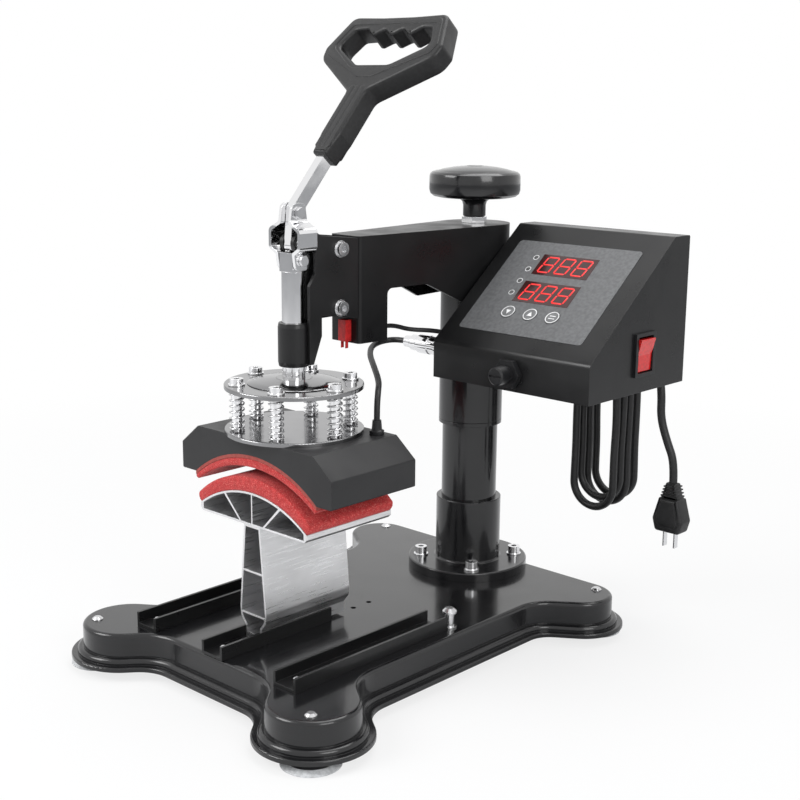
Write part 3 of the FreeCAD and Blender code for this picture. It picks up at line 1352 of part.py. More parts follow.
def make_cords():
    make_hank()
    tail = [V(200, 66, 212), V(200, 66, 190), V(209, 66, 166), V(219, 66, 146), V(219, 66, 124)]
    keep("cord_tail", feature("cord_tail", run_of(tail, S.cord_radius.value, "cord_tail"), (cx, cy, deck)))
    heater = [V(-8.5, -94, 263), V(-22, -94, 263), V(-31, -105, 262), V(-30, -124, 259.5),
              V(-12, -146, 255.5), V(12, -165, 250.5), V(42, -188, 242), V(60, -208, 238),
              V(66, -215.7, 226), V(66, -215.7, 212.5)]
    keep("heater_cable", feature("heater_cable", run_of(heater, S.cable_radius.value, "heater_cable"),
                                 (cx, cy, deck)))
    sensor = [V(8, -157, 287), V(8, -146, 287), V(6, -128, 285), V(9, -110, 279), V(24, -92, 278),
              V(38.8, -92, 278)]
    keep("sensor_cable", feature("sensor_cable", run_of(sensor, S.sensor_radius.value, "sensor_cable"),
                                 (cx, cy, deck)))


# Cap stand: hollow extrusion that stands in the centre channel

def make_stand():
    rear = (cx, cy - S.form_rear_y, deck)
    form_r = arc_radius(S.form_half, S.form_top_up - S.form_end_up)
    form = body("cap_form", rear)
    made = sketch(form, "XZ")
    half, low, end = S.form_half, S.form_bottom_up, S.form_end_up
    outline(made, [(-half + 3, low), (half - 3, low), (half, low + 3), (half, end, "arc", form_r),
                   (-half, end), (-half, low + 3)])
    pad(form, made, S.form_depth)
    centre_z = S.form_top_up - form_r
    inner_r = form_r - S.form_wall
    floor = low + S.form_wall
    wall = S.form_wall

    def crown(x):
        return centre_z + root(inner_r * inner_r - x * x)

    top, foot, web = S.form_web_top, S.form_web_foot, S.form_web / 2
    far = half - wall - 2
    for side in (-1, 1):
        inner = sketch(form, "XZ")
        order = [(side * web, floor), (side * (foot - web), floor), (side * (top - web), crown(top - web)),
                 (side * web, crown(web))]
        radius = inner_r
        if side > 0:
            order[2] = order[2] + ("arc", radius)
        else:
            order = [order[0], order[3] + ("arc", radius), order[2], order[1]]
        outline(inner, order)
        pocket(form, inner, S.form_depth + 1, True)
        outer = sketch(form, "XZ")
        order = [(side * (foot + web + 1), floor), (side * far, floor), (side * far, crown(far)),
                 (side * (top + web + 1), crown(top + web + 1))]
        if side > 0:
            order[2] = order[2] + ("arc", radius)
        else:
            order = [order[0], order[3] + ("arc", radius), order[2], order[1]]
        outline(outer, order)
        pocket(form, outer, S.form_depth + 1, True)
    keep("cap_form", form)
    face = arc_radius(S.pad_arc_half, S.pad_face_up - S.platen_bottom_up + S.pad_end_drop)
    face_top = S.pad_face_up - S.pad_gap
    pad_end = face_top - face + root(face * face - S.cap_pad_half * S.cap_pad_half)
    keep("lower_pad", prism("lower_pad", rear, "XZ", [
        (-half, end, "arc", -form_r), (half, end), (S.cap_pad_half, pad_end, "arc", face),
        (-S.cap_pad_half, pad_end)], S.form_depth))
    foot_half = S.stand_foot_half
    belly, belly_up = S.stand_belly_half, S.stand_belly_up
    stand_top = S.form_bottom_up
    foot_low = S.channel_wall + 0.2
    stand = body("stand_post", rear)
    made = sketch(stand, "XZ")
    outline(made, [
        (-foot_half, foot_low), (foot_half, foot_low), (foot_half, 14.6, 3), (belly - 1, 22, 8),
        (belly, belly_up, 12), (S.stand_top_half, stand_top), (-S.stand_top_half, stand_top),
        (-belly, belly_up, 12), (-belly + 1, 22, 8), (-foot_half, 14.6, 3)])
    pad(stand, made, S.form_depth)
    levels = [(S.stand_web_low_up + wall / 2, S.stand_web_high_up - wall / 2),
              (S.stand_web_high_up + wall / 2, stand_top - wall)]
    for low_z, high_z in levels:
        cell = sketch(stand, "XZ")
        outline(cell, [(-stand_half(low_z) + wall, low_z), (stand_half(low_z) - wall, low_z),
                       (stand_half(high_z) - wall, high_z), (-stand_half(high_z) + wall, high_z)])
        pocket(stand, cell, S.form_depth + 1, True)
    cell = sketch(stand, "XZ")
    roof = S.stand_web_low_up - wall / 2
    outline(cell, [(-foot_half + wall, 8), (foot_half - wall, 8), (foot_half - wall, 15.5),
                   (belly - 1 - wall, 23.5), (belly - 1 - wall, roof), (-belly + 1 + wall, roof),
                   (-belly + 1 + wall, 23.5), (-foot_half + wall, 15.5)])
    pocket(stand, cell, S.form_depth + 1, True)
    keep("stand_post", stand)


def stand_half(up):
    """Half width of the stand's outside at a height between its belly and its top."""
    share = (up - S.stand_belly_up) / (S.form_bottom_up - S.stand_belly_up)
    return S.stand_belly_half - share * (S.stand_belly_half - S.stand_top_half)


# Control box and what is on it

def box_profile(grow, front):
    """Side view of the box. grow is the wall taken off, and front that of the slope."""
    low = S.box_bottom_up + grow
    lip = S.box_bottom_up + S.box_lip_height
    rise = S.box_slope_run * sine(S.box_slope) / cosine(S.box_slope)
    top = lip + rise
    drop = front / cosine(S.box_slope)
    return low, lip - drop, top - drop, top


def make_box():
    left = cx + S.box_left_x
    front = -S.box_front_y
    ridge = front + S.box_slope_run
    low, lip, ridge_z, top = box_profile(S.box_wall - S.box_wall, S.box_wall - S.box_wall)
    outer = prism("control_box_outside", (left, cy, deck), "YZ", [
        (front, low), (S.box_rear_y, low), (S.box_rear_y, top, 2), (ridge, top, 3), (front, lip, 6)],
        S.box_width)
    wall = S.box_wall
    slope = sine(S.box_slope) / cosine(S.box_slope)
    in_low, in_lip, in_ridge, _ = box_profile(wall, S.box_front_wall)
    in_lip = in_lip + wall * slope
    in_top = top - wall
    in_ridge_y = ridge + (in_top - in_ridge) / slope
    inner = prism("control_box_inside", (left + wall, cy, deck), "YZ", [
        (front + wall, in_low), (S.box_rear_y + 5, in_low), (S.box_rear_y + 5, in_top),
        (in_ridge_y, in_top), (front + wall, in_lip)], S.box_width - wall * 2)
    seat = tilt(body("panel_seat"), (left, cy - S.box_front_y, deck + S.box_bottom_up + S.box_lip_height),
                S.box_slope)
    made = sketch(seat, "XY", -S.panel_recess)
    x0 = S.panel_x - S.box_left_x - 0.2
    y0 = S.panel_low - 0.2
    x1 = x0 + S.panel_width + 0.4
    y1 = y0 + S.panel_height + 0.4
    outline(made, [(x0, y0, 4), (x1, y0, 4), (x1, y1, 4), (x0, y1, 4)])
    pad(seat, made, S.panel_recess + 5)
    rocker_at = (left + S.box_width - wall - 1, cy - S.rocker_y - rocker_hole()[0],
                 deck + S.rocker_up - rocker_hole()[1])
    rocker_cut = block("rocker_hole", rocker_at, (wall + 2, rocker_hole()[0] * 2, rocker_hole()[1] * 2))
    fuse_cut = rod("fuse_hole", (cx + S.fuse_x, cy - S.box_front_y - 1, deck + S.fuse_up),
                   S.fuse_radius - 1 + 0.3, wall + 2, "y")
    socket_cut = rod("socket_hole", (left - 1, cy - S.socket_y, deck + S.socket_up), 7.3, wall + 2, "x")
    tools = fuse("control_box_cuts", [inner, seat, rocker_cut, fuse_cut, socket_cut])
    keep("control_box", cut("control_box", outer, tools))
    gap = 0.1
    back = block("box_back_plate", (left + wall + gap, cy + S.box_rear_y - wall, deck + in_low + gap),
                 (S.box_width - wall * 2 - gap * 2, wall, in_top - in_low - gap * 2))
    gland_cut = rod("gland_hole", (cx + S.hank_left_x, cy + S.box_rear_y - wall - 1, deck + S.gland_up),
                    5.3, wall + 2, "y")
    keep("box_back", cut("box_back", back, gland_cut))


def rocker_hole():
    return S.bezel_half_width - 2, S.bezel_half_height - 2


def slope_body(name, x, y, z):
    """A body on the sloping front, at x from the column, y up the slope, z out of it."""
    lean_y, lean_z = cosine(S.box_slope), sine(S.box_slope)
    at = (cx + x, cy - S.box_front_y + lean_y * y - lean_z * z,
          deck + S.box_bottom_up + S.box_lip_height + lean_z * y + lean_y * z)
    return tilt(body(name), at, S.box_slope)


def slope_disc(name, x, y, low, radius, depth):
    item = slope_body(name, x, y, low)
    made = sketch(item, "XY")
    circle(made, 0, 0, radius)
    pad(item, made, depth)
    return item


def make_panel():
    panel = slope_body("panel_plate", S.panel_x, S.panel_low, -S.panel_recess)
    made = sketch(panel, "XY")
    wide, tall = S.panel_width, S.panel_height
    outline(made, [(0, 0, 4), (wide, 0, 4), (wide, tall, 4), (0, tall, 4)])
    pad(panel, made, S.panel_depth)
    windows = sketch(panel, "XY", S.panel_depth)
    x0 = S.display_x - S.panel_x
    for low in (S.display_low, S.display_high):
        y0 = low - S.panel_low
        outline(windows, [(x0, y0), (x0 + S.display_width, y0),
                          (x0 + S.display_width, y0 + S.display_height), (x0, y0 + S.display_height)])
    pocket(panel, windows, S.display_depth - 0.2)
    holes = sketch(panel, "XY", S.panel_depth)
    for i in range(4):
        circle(holes, S.lamp_x - S.panel_x, S.lamp_low + i * S.lamp_pitch - S.panel_low, S.lamp_radius)
    for i in range(3):
        circle(holes, S.button_x + i * S.button_pitch - S.panel_x, S.button_low - S.panel_low,
               S.button_radius + 0.3)
    pocket(panel, holes, S.panel_depth + 1)
    keep("panel_plate", panel)
    face = S.panel_depth - S.panel_recess
    windows = []
    for name, low in (("time_window", S.display_low), ("heat_window", S.display_high)):
        item = slope_body(name, S.display_x, low, face - S.display_depth + 0.2)
        made = sketch(item, "XY")
        outline(made, [(0, 0), (S.display_width, 0), (S.display_width, S.display_height),
                       (0, S.display_height)])
        pad(item, made, S.display_depth)
        windows.append(item)
    group("digit_displays", windows)
    lamps = []
    for i in range(4):
        lamps.append(slope_disc(f"lamp_{i}", S.lamp_x, S.lamp_low + i * S.lamp_pitch, -S.panel_recess,
                                S.lamp_radius, S.panel_depth + 0.3))
    group("indicator_lamps", lamps)
    for i, name in enumerate(("down_button", "up_button", "set_button")):
        low = -S.panel_recess + S.button_travel + 0.2
        keep(name, slope_disc(name, S.button_x + i * S.button_pitch, S.button_low, low, S.button_radius,
                              face + 0.6 - low))


def make_rocker():
    right = S.box_left_x + S.box_width
    y, z = cy - S.rocker_y, deck + S.rocker_up
    frame_y, frame_z = S.bezel_half_width, S.bezel_half_height
    hole_y, hole_z = rocker_hole()
    depth = 16
    flange = block("bezel_flange", (cx + right, y - frame_y, z - frame_z),
                   (S.bezel_depth, frame_y * 2, frame_z * 2))
    case = block("bezel_case", (cx + right - depth, y - hole_y + 0.2, z - hole_z + 0.2),
                 (depth, hole_y * 2 - 0.4, hole_z * 2 - 0.4))
    hollow_y, hollow_z = S.rocker_half_width + 0.6, S.rocker_half_height + 1.2
    hollow = block("bezel_hollow", (cx + right - depth + 3, y - hollow_y, z - hollow_z),
                   (depth + 5, hollow_y * 2, hollow_z * 2))
    keep("rocker_bezel", cut("rocker_bezel", fuse("bezel_solid", [flange, case]), hollow))
    cap = body("power_rocker", (cx + right - 3, y + S.rocker_half_width, z),
               FreeCAD.Rotation(V(0, 1, 0), number(S.rocker_tilt)), S.rocker_tilt)
    made = sketch(cap, "XZ")
    tall = S.rocker_half_height
    outline(made, [(-2, -3), (0, -tall + 1), (6.5, -tall, 1),
                   (4.6, 0), (6.5, tall, 1), (0, tall - 1), (-2, 3)])
    pad(cap, made, S.rocker_half_width * 2)
    pivot = sketch(cap, "XZ")
    circle(pivot, -2, 0, 3)
    pad(cap, pivot, S.rocker_half_width * 2)
    keep("power_rocker", cap)


def make_fittings():
    at = (cx + S.fuse_x, cy - S.box_front_y, deck + S.fuse_up)
    body_r = S.fuse_radius - 1
    fuse_tube = turned("fuse_body", at, [
        (0, -18), (body_r, -18), (body_r, 1), (body_r, 8), (body_r + 0.8, 9), (S.fuse_radius, 10),
        (S.fuse_radius, S.fuse_length - 1.5), (S.fuse_radius - 1.5, S.fuse_length), (0, S.fuse_length)], "-y")
    slot = block("fuse_slot", (at[0] - 7, at[1] - S.fuse_length - 1, at[2] - 1), (14, 3, 2))
    nut = hexagon("fuse_nut_body", at, S.fuse_nut_radius, S.fuse_nut_depth, "-y")
    keep("fuse_holder", cut("fuse_holder", fuse("fuse_solid", [fuse_tube, nut]), slot))
    at = (cx + S.box_left_x, cy - S.socket_y, deck + S.socket_up)
    keep("heater_connector", turned("heater_connector", at, [
        (0, -12), (7, -12), (7, 0), (11, 0), (11, 2.5), (9.3, 2.5), (9.3, 12), (8.4, 12), (8.4, 14),
        (9.6, 14), (9.6, 28), (8, 30), (8, 38), (6, 40), (6, 47.3), (0, 47.3)], "-x"))
    at = (cx + S.hank_left_x, cy + S.box_rear_y, deck + S.gland_up)
    tail_r = S.cord_radius + 1.2
    keep("cord_gland", turned("cord_gland", at, [
        (0, -6), (5, -6), (5, 0), (7.2, 0), (7.2, 5), (6.8, 5), (tail_r, S.gland_length),
        (0, S.gland_length)], "y"))
    middle = (S.hank_left_x + S.hank_right_x) / 2
    radius = (S.hank_right_x - S.hank_left_x) / 2
    bar_top = S.hank_top_up + radius - S.cord_radius - S.running_gap
    reach = S.hank_far_y - S.box_rear_y + 4
    bar = block("hook_bar", (cx + middle - 5, cy + S.box_rear_y, deck + bar_top - 5), (10, reach, 5))
    toe = block("hook_toe", (cx + middle - 5, cy + S.box_rear_y + reach, deck + bar_top - 5), (10, 3, 9))
    plate = block("hook_plate", (cx + middle - 5, cy + S.box_rear_y, deck + bar_top - 5), (10, 2.5, 30))
    keep("cord_hook", fuse("cord_hook", [bar, toe, plate]))


def make_plug():
    """A moulded two-pin plug that hangs at the end of the lead."""
    x, y, z = cx + 219, cy + 66, deck + 124
    relief = cone("plug_relief", (x, y, z - 17), 9.5, S.cord_radius + 1.4, 17)
    shell = doc.addObject("Part::Wedge", "plug_shell")
    for prop, value in (("Xmin", 0), ("Xmax", 36), ("Zmin", 0), ("Zmax", 20), ("X2min", 7), ("X2max", 29),
                        ("Z2min", 1.5), ("Z2max", 18.5), ("Ymin", 0), ("Ymax", 36)):
        setattr(shell, prop, value)
    place(shell, (x - 18, y + 10, z - 52), FreeCAD.Rotation(V(1, 0, 0), 90))
    keep("power_plug", fuse("power_plug", [relief, shell]))
    blades = [block(f"plug_blade_{i}", (x + side * 6.35 - 0.75, y - 3.2, z - 52 - 17), (1.5, 6.4, 17))
              for i, side in enumerate((-1, 1))]
    group("plug_blades", blades)


def check_and_write():
    doc.recompute()
    for item in doc.Objects:
        bad = [s for s in item.State if s in ("Invalid", "Error")]
        if bad:
            raise RuntimeError(f"{item.Name} is {bad}")
        if item.TypeId == "Sketcher::SketchObject" and not item.FullyConstrained:
            print("not fully constrained:", item.Name)
    for name, item in parts.items():
        if item.Shape.isNull() or not item.Shape.isValid():
            raise RuntimeError(name + " has no valid shape")
    os.makedirs("parts", exist_ok=True)
    for name, item in parts.items():
        item.Shape.exportStep(f"parts/{name}.step")
    print(len(parts), "nodes written")


def main():
    make_pan()
    make_feet()
    make_column()
    make_channels()
    make_swivel()
    make_arm()
    make_bracket()
    drill_arm()
    make_microswitch()
    make_lever()
    make_links()
    make_plunger()
    make_platen()
    make_stand()
    make_box()
    make_panel()
    make_rocker()
    make_fittings()
    make_plug()
    make_cords()
    check_and_write()


main()
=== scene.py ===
import math
import bmesh
import bpy
from mathutils import Matrix, Vector


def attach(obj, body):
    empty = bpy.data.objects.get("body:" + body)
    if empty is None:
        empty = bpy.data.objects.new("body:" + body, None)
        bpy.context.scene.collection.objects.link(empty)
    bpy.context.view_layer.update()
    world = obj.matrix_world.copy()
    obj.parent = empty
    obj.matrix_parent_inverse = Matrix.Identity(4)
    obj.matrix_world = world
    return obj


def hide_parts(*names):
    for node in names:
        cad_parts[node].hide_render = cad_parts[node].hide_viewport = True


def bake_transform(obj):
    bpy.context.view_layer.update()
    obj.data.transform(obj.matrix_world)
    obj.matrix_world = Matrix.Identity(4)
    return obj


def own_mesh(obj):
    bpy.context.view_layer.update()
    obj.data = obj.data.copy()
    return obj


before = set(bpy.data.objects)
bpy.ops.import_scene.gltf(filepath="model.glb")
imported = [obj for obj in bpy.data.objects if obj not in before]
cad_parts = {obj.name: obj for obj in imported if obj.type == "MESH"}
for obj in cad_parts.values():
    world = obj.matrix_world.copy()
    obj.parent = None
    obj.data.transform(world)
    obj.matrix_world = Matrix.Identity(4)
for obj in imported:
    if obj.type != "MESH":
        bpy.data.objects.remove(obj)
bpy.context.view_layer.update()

scene = bpy.context.scene
mm = 0.001
columnFoot = Vector((-20.4, 149.0, 43.5)) * mm   # the column's axis at the top plate


def fromColumn(x, y, z):
    return columnFoot + Vector((x, y, z)) * mm


# camera

cameraView = {"at": (0.9113, -0.9656, 0.5585), "turn": 42.93, "tip": 77.22, "roll": 0.5, "lens": 61.26}


def setCamera(view):
    bpy.ops.object.camera_add(location=view["at"])
    camera = bpy.context.object
    camera.name = "viewOfPress"
    look = (Matrix.Rotation(math.radians(view["turn"]), 3, "Z")
            @ Matrix.Rotation(math.radians(view["tip"]), 3, "X")
            @ Matrix.Rotation(math.radians(view["roll"]), 3, "Z"))
    camera.rotation_euler = look.to_euler()
    camera.data.lens = view["lens"]
    camera.data.sensor_width = 36
    camera.data.clip_start = 0.01
    scene.camera = camera


setCamera(cameraView)
print("camera set")


# helpers for the bench work

def freeHands():
    # nothing selected, object mode
    if bpy.context.object and bpy.context.object.mode != "OBJECT":
        bpy.ops.object.mode_set(mode="OBJECT")
    bpy.ops.object.select_all(action="DESELECT")


def pick(piece):
    freeHands()
    piece.select_set(True)
    bpy.context.view_layer.objects.active = piece


def settle(piece, turn=None):
    # puts the piece's place, turn and size into its mesh
    pick(piece)
    if turn is not None:
        piece.matrix_world = turn @ piece.matrix_world
    bpy.ops.object.transform_apply(location=True, rotation=True, scale=True)
    return piece


def soften(piece, angle=35):
    pick(piece)
    bpy.ops.object.shade_smooth_by_angle(angle=math.radians(angle))


def cleanMesh(piece, gap=0.00002):
    pick(piece)
    bpy.ops.object.mode_set(mode="EDIT")
    bpy.ops.mesh.select_all(action="SELECT")
    bpy.ops.mesh.remove_doubles(threshold=gap)
    bpy.ops.mesh.normals_make_consistent(inside=False)
    bpy.ops.object.mode_set(mode="OBJECT")


def useModifier(piece, kind, **values):
    pick(piece)
    modifier = piece.modifiers.new(kind.title(), kind)
    for name, value in values.items():
        setattr(modifier, name, value)
    bpy.ops.object.modifier_apply(modifier=modifier.name)


def copyOf(piece, name, move):
    # a copy with its own mesh, moved by a matrix
    twin = piece.copy()
    twin.data = piece.data.copy()
    twin.name = name
    twin.data.name = name
    scene.collection.objects.link(twin)
    twin.data.transform(move)
    return twin


def joinAll(pieces, name):
    freeHands()
    for piece in pieces:
        piece.select_set(True)
    bpy.context.view_layer.objects.active = pieces[0]
    if len(pieces) > 1:
        bpy.ops.object.join()
    whole = bpy.context.object
    whole.name = name
    whole.data.name = name
    return whole


def roundCorners(corners, steps=6):
    # an outline's points from its corners, each (x, y, radius) in mm
    points = []
    for i, (x, y, radius) in enumerate(corners):
        here = Vector((x, y))
        back = Vector(corners[i - 1][:2]) - here
        on = Vector(corners[(i + 1) % len(corners)][:2]) - here
        if radius == 0:
            points.append(here)
            continue
        cut = min(radius / math.tan(back.angle(on) / 2), 0.49 * back.length, 0.49 * on.length)
        start, end = here + back.normalized() * cut, here + on.normalized() * cut
        for k in range(steps + 1):
            t = k / steps
            points.append((1 - t) ** 2 * start + 2 * t * (1 - t) * here + t * t * end)
    return points


def ringPoints(x, y, radius, steps=40, turn=0.0):
    return [Vector((x + radius * math.cos(2 * math.pi * i / steps + turn),
                    y + radius * math.sin(2 * math.pi * i / steps + turn))) for i in range(steps)]


def cutShape(name, outlines, depth, bevel, turn, rounds=2):
    # a plate with soft edges from flat outlines in mm; depth is its whole thickness, and turn places it
    freeHands()
    flat = bpy.data.curves.new(name, "CURVE")
    flat.dimensions = "2D"
    flat.fill_mode = "BOTH"
    flat.extrude = (depth / 2 - bevel) * mm
    flat.bevel_depth = bevel * mm
    flat.bevel_resolution = rounds
    flat.offset = -bevel * mm
    for points in outlines:
        line = flat.splines.new("POLY")
        line.points.add(len(points) - 1)
        for spot, point in zip(line.points, points):
            spot.co = (point[0] * mm, point[1] * mm, 0, 1)
        line.use_cyclic_u = True
    piece = bpy.data.objects.new(name, flat)
    scene.collection.objects.link(piece)
    pick(piece)
    bpy.ops.object.convert(target="MESH")
    piece = bpy.context.object
    piece.data.transform(turn)
    cleanMesh(piece)
    soften(piece)
    return piece


def turnProfile(name, at, profile, steps=64, angle=32):
    # a piece turned about an upright axis from a profile of (radius, height) in mm
    freeHands()
    bpy.ops.mesh.primitive_plane_add(size=mm, location=at)
    piece = bpy.context.object
    piece.name = name
    piece.data.name = name
    bpy.ops.object.mode_set(mode="EDIT")
    bpy.ops.mesh.select_all(action="SELECT")
    bpy.ops.mesh.merge(type="CENTER")
    first = Vector((profile[0][0], 0, profile[0][1])) * mm
    bpy.ops.transform.translate(value=first)
    for before, here in zip(profile, profile[1:]):
        step = Vector((here[0] - before[0], 0, here[1] - before[1])) * mm
        bpy.ops.mesh.extrude_region_move(TRANSFORM_OT_translate={"value": step})
    bpy.ops.mesh.select_all(action="SELECT")
    bpy.ops.mesh.spin(steps=steps, angle=2 * math.pi, center=at, axis=(0, 0, 1))
    bpy.ops.object.mode_set(mode="OBJECT")
    settle(piece)
    cleanMesh(piece)
    soften(piece, angle)
    return piece


# cords: their points are the ones their tubes follow

mainsLead = {
    "radius": 4.25, "left": 87, "right": 138, "rows": (115, 101.5, 90, 78.5),
    "lead": [(87, 77.7, 262), (87, 93.5, 262), (87, 115, 240.5)],
    "low": 104.75, "high": 212,
    "sag": (-1, -5, 2, -6),         # how much lower each turn hangs
    "fan": (2.2, 0.8, -0.4, -1.5),  # how far each turn's foot swings out
    "tail": [(200, 66, 212), (200, 66, 190), (209, 66, 166), (219, 66, 146), (219, 66, 124)],
}


def hankPoints(lead):
    # turn by turn from the far side: down the left, round the foot, up the right and over the hook
    points = list(lead["lead"])
    middle = (lead["left"] + lead["right"]) / 2
    reach = (lead["right"] - lead["left"]) / 2
    wide = reach / math.cos(math.radians(15))
    low, high = lead["low"], lead["high"]
    for i, y in enumerate(lead["rows"]):
        foot, swing = low + lead["sag"][i], lead["fan"][i]
        points += [(middle - reach, y, 208), (middle - reach - 0.5, y + swing * 0.3, 172),
                   (middle - reach + 0.5, y + swing * 0.7, 138)]
        for angle in (165, 195, 225, 255, 285, 315, 345, 375):
            turn = math.radians(angle)
            points.append((middle + wide * math.cos(turn), y + swing, foot + wide * math.sin(turn)))
        points += [(middle + reach - 0.5, y + swing * 0.7, 138), (middle + reach + 0.5, y + swing * 0.3, 172)]
        if i < 3:
            step = lead["rows"][i + 1] - y
            for angle, share in ((-8, 0), (25, 0.15), (60, 0.35), (90, 0.5), (120, 0.65), (155, 0.85)):
                turn = math.radians(angle)
                points.append((middle + wide * math.cos(turn), y + step * share, high + wide * math.sin(turn)))
    over, top = (lead["right"] + lead["tail"][0][0]) / 2, (lead["tail"][0][0] - lead["right"]) / 2
    wide = top / math.cos(math.radians(18))
    for angle in (180, 144, 108, 72, 36):
        turn = math.radians(angle)
        y = lead["rows"][3] + (66 - lead["rows"][3]) * (180 - angle) / 180
        points.append((over + wide * math.cos(turn), y, high + wide * math.sin(turn)))
    return points + lead["tail"]


def makeCord(name, points, radius):
    # one smooth line through the route's points in mm, as thick as the cord
    line = bpy.data.curves.new(name, "CURVE")
    line.dimensions = "3D"
    line.bevel_depth = radius * mm
    line.bevel_resolution = 4
    line.resolution_u = 6
    line.use_fill_caps = True
    run = line.splines.new("NURBS")
    run.points.add(len(points) - 1)
    for spot, point in zip(run.points, points):
        spot.co = (*fromColumn(*point), 1)
    run.order_u = 3
    run.use_endpoint_u = True
    cord = bpy.data.objects.new(name, line)
    scene.collection.objects.link(cord)
    return cord


def lineOf(cord):
    # the points along a cord's middle
    thick = cord.data.bevel_depth
    cord.data.bevel_depth = 0
    thread = bpy.data.meshes.new_from_object(cord)
    points = [tuple(vertex.co) for vertex in thread.vertices]
    bpy.data.meshes.remove(thread)
    cord.data.bevel_depth = thick
    return points


heaterLead = {"radius": 3.0, "points": [
    (-8.5, -94, 263), (-22, -94, 263), (-31, -105, 262), (-30, -124, 259.5), (-12, -146, 255.5),
    (12, -165, 250.5), (42, -188, 242), (60, -208, 238), (66, -215.7, 226), (66, -215.7, 212.5)]}
sensorLead = {"radius": 2.3, "points": [
    (8, -157, 287), (8, -146, 287), (6, -128, 285), (9, -110, 279), (24, -92, 278), (38.8, -92, 278)]}

mainsCord = makeCord("mainsCord", hankPoints(mainsLead), mainsLead["radius"])
heaterCable = makeCord("heaterCable", heaterLead["points"], heaterLead["radius"])
sensorCable = makeCord("sensorCable", sensorLead["points"], sensorLead["radius"])
heaterLine = lineOf(heaterCable)
pick(heaterCable)
bpy.ops.object.convert(target="MESH")
heaterCable = bpy.context.object
soften(heaterCable, 60)
print("cords laid")


# finishes

def startFinish(name, colour, roughness, metallic=0.0, coat=0.0, gloss=0.5):
    finish = bpy.data.materials.new(name)
    finish.use_nodes = True
    tree = finish.node_tree
    shader = tree.nodes["Principled BSDF"]
    shader.inputs["Base Color"].default_value = (*colour, 1)
    shader.inputs["Roughness"].default_value = roughness
    shader.inputs["Metallic"].default_value = metallic
    shader.inputs["Coat Weight"].default_value = coat
    shader.inputs["Coat Roughness"].default_value = 0.08
    shader.inputs["Specular IOR Level"].default_value = gloss
    place = tree.nodes.new("ShaderNodeTexCoord").outputs["Object"]
    return finish, tree, shader, place


def noiseOf(tree, place, scale, detail=3.0, stretch=None):
    if stretch:
        mapping = tree.nodes.new("ShaderNodeMapping")
        mapping.inputs["Scale"].default_value = stretch
        tree.links.new(place, mapping.inputs["Vector"])
        place = mapping.outputs["Vector"]
    noise = tree.nodes.new("ShaderNodeTexNoise")
    noise.inputs["Scale"].default_value = scale
    noise.inputs["Detail"].default_value = detail
    tree.links.new(place, noise.inputs["Vector"])
    return noise.outputs["Fac"]


def ranged(tree, value, low, high, fromLow=0.35, fromHigh=0.65):
    node = tree.nodes.new("ShaderNodeMapRange")
    for name, number in (("From Min", fromLow), ("From Max", fromHigh), ("To Min", low), ("To Max", high)):
        node.inputs[name].default_value = number
    tree.links.new(value, node.inputs["Value"])
    return node.outputs["Result"]


def shaded(tree, share, dark, light):
    # a colour between two, by share
    node = tree.nodes.new("ShaderNodeMix")
    node.data_type = "RGBA"
    node.inputs["A"].default_value = (*dark, 1)
    node.inputs["B"].default_value = (*light, 1)
    tree.links.new(share, node.inputs["Factor"])
    return node.outputs["Result"]


def bumped(tree, shader, height, depth, strength=1.0, under=None):
    node = tree.nodes.new("ShaderNodeBump")
    node.inputs["Distance"].default_value = depth
    node.inputs["Strength"].default_value = strength
    tree.links.new(height, node.inputs["Height"])
    if under is not None:
        tree.links.new(under, node.inputs["Normal"])
    tree.links.new(node.outputs["Normal"], shader.inputs["Normal"])
    return node.outputs["Normal"]


def softEdge(tree, radius):
    node = tree.nodes.new("ShaderNodeBevel")
    node.samples = 4
    node.inputs["Radius"].default_value = radius
    return node.outputs["Normal"]


def rubbedEdge(tree, edge):
    # 1 where an edge is rubbed, 0 on the flats
    geometry = tree.nodes.new("ShaderNodeNewGeometry")
    dot = tree.nodes.new("ShaderNodeVectorMath")
    dot.operation = "DOT_PRODUCT"
    tree.links.new(edge, dot.inputs[0])
    tree.links.new(geometry.outputs["True Normal"], dot.inputs[1])
    return ranged(tree, dot.outputs["Value"], 1.0, 0.0, 0.86, 0.985)


def paint(name, colour, roughness, coat=0.0, grain=900, depth=0.00004, edge=0.0008, rub=0.5, gloss=0.35):
    finish, tree, shader, place = startFinish(name, colour, roughness, 0.0, coat, gloss)
    fine = noiseOf(tree, place, grain, 2.0)
    cloud = noiseOf(tree, place, 26, 5.0)
    tree.links.new(ranged(tree, cloud, roughness * 0.8, roughness * 1.25), shader.inputs["Roughness"])
    rim = softEdge(tree, edge)
    bumped(tree, shader, fine, depth, 0.35, rim)
    worn = tree.nodes.new("ShaderNodeMath")
    worn.operation = "MULTIPLY"
    tree.links.new(rubbedEdge(tree, rim), worn.inputs[0])
    tree.links.new(ranged(tree, noiseOf(tree, place, 140, 4.0), 0.0, rub), worn.inputs[1])
    light = tuple(c * 3.2 + 0.03 for c in colour)
    tree.links.new(shaded(tree, worn.outputs["Value"], colour, light), shader.inputs["Base Color"])
    return finish


def brightMetal(name, colour, roughness, edge=0.0004, scratch=0.35):
    finish, tree, shader, place = startFinish(name, colour, roughness, 1.0)
    smear = noiseOf(tree, place, 60, 4.0)
    tree.links.new(ranged(tree, smear, roughness * (1 - scratch), roughness * (1 + scratch)),
                   shader.inputs["Roughness"])
    bumped(tree, shader, noiseOf(tree, place, 700, 2.0), 0.00001, 0.2, softEdge(tree, edge))
    return finish


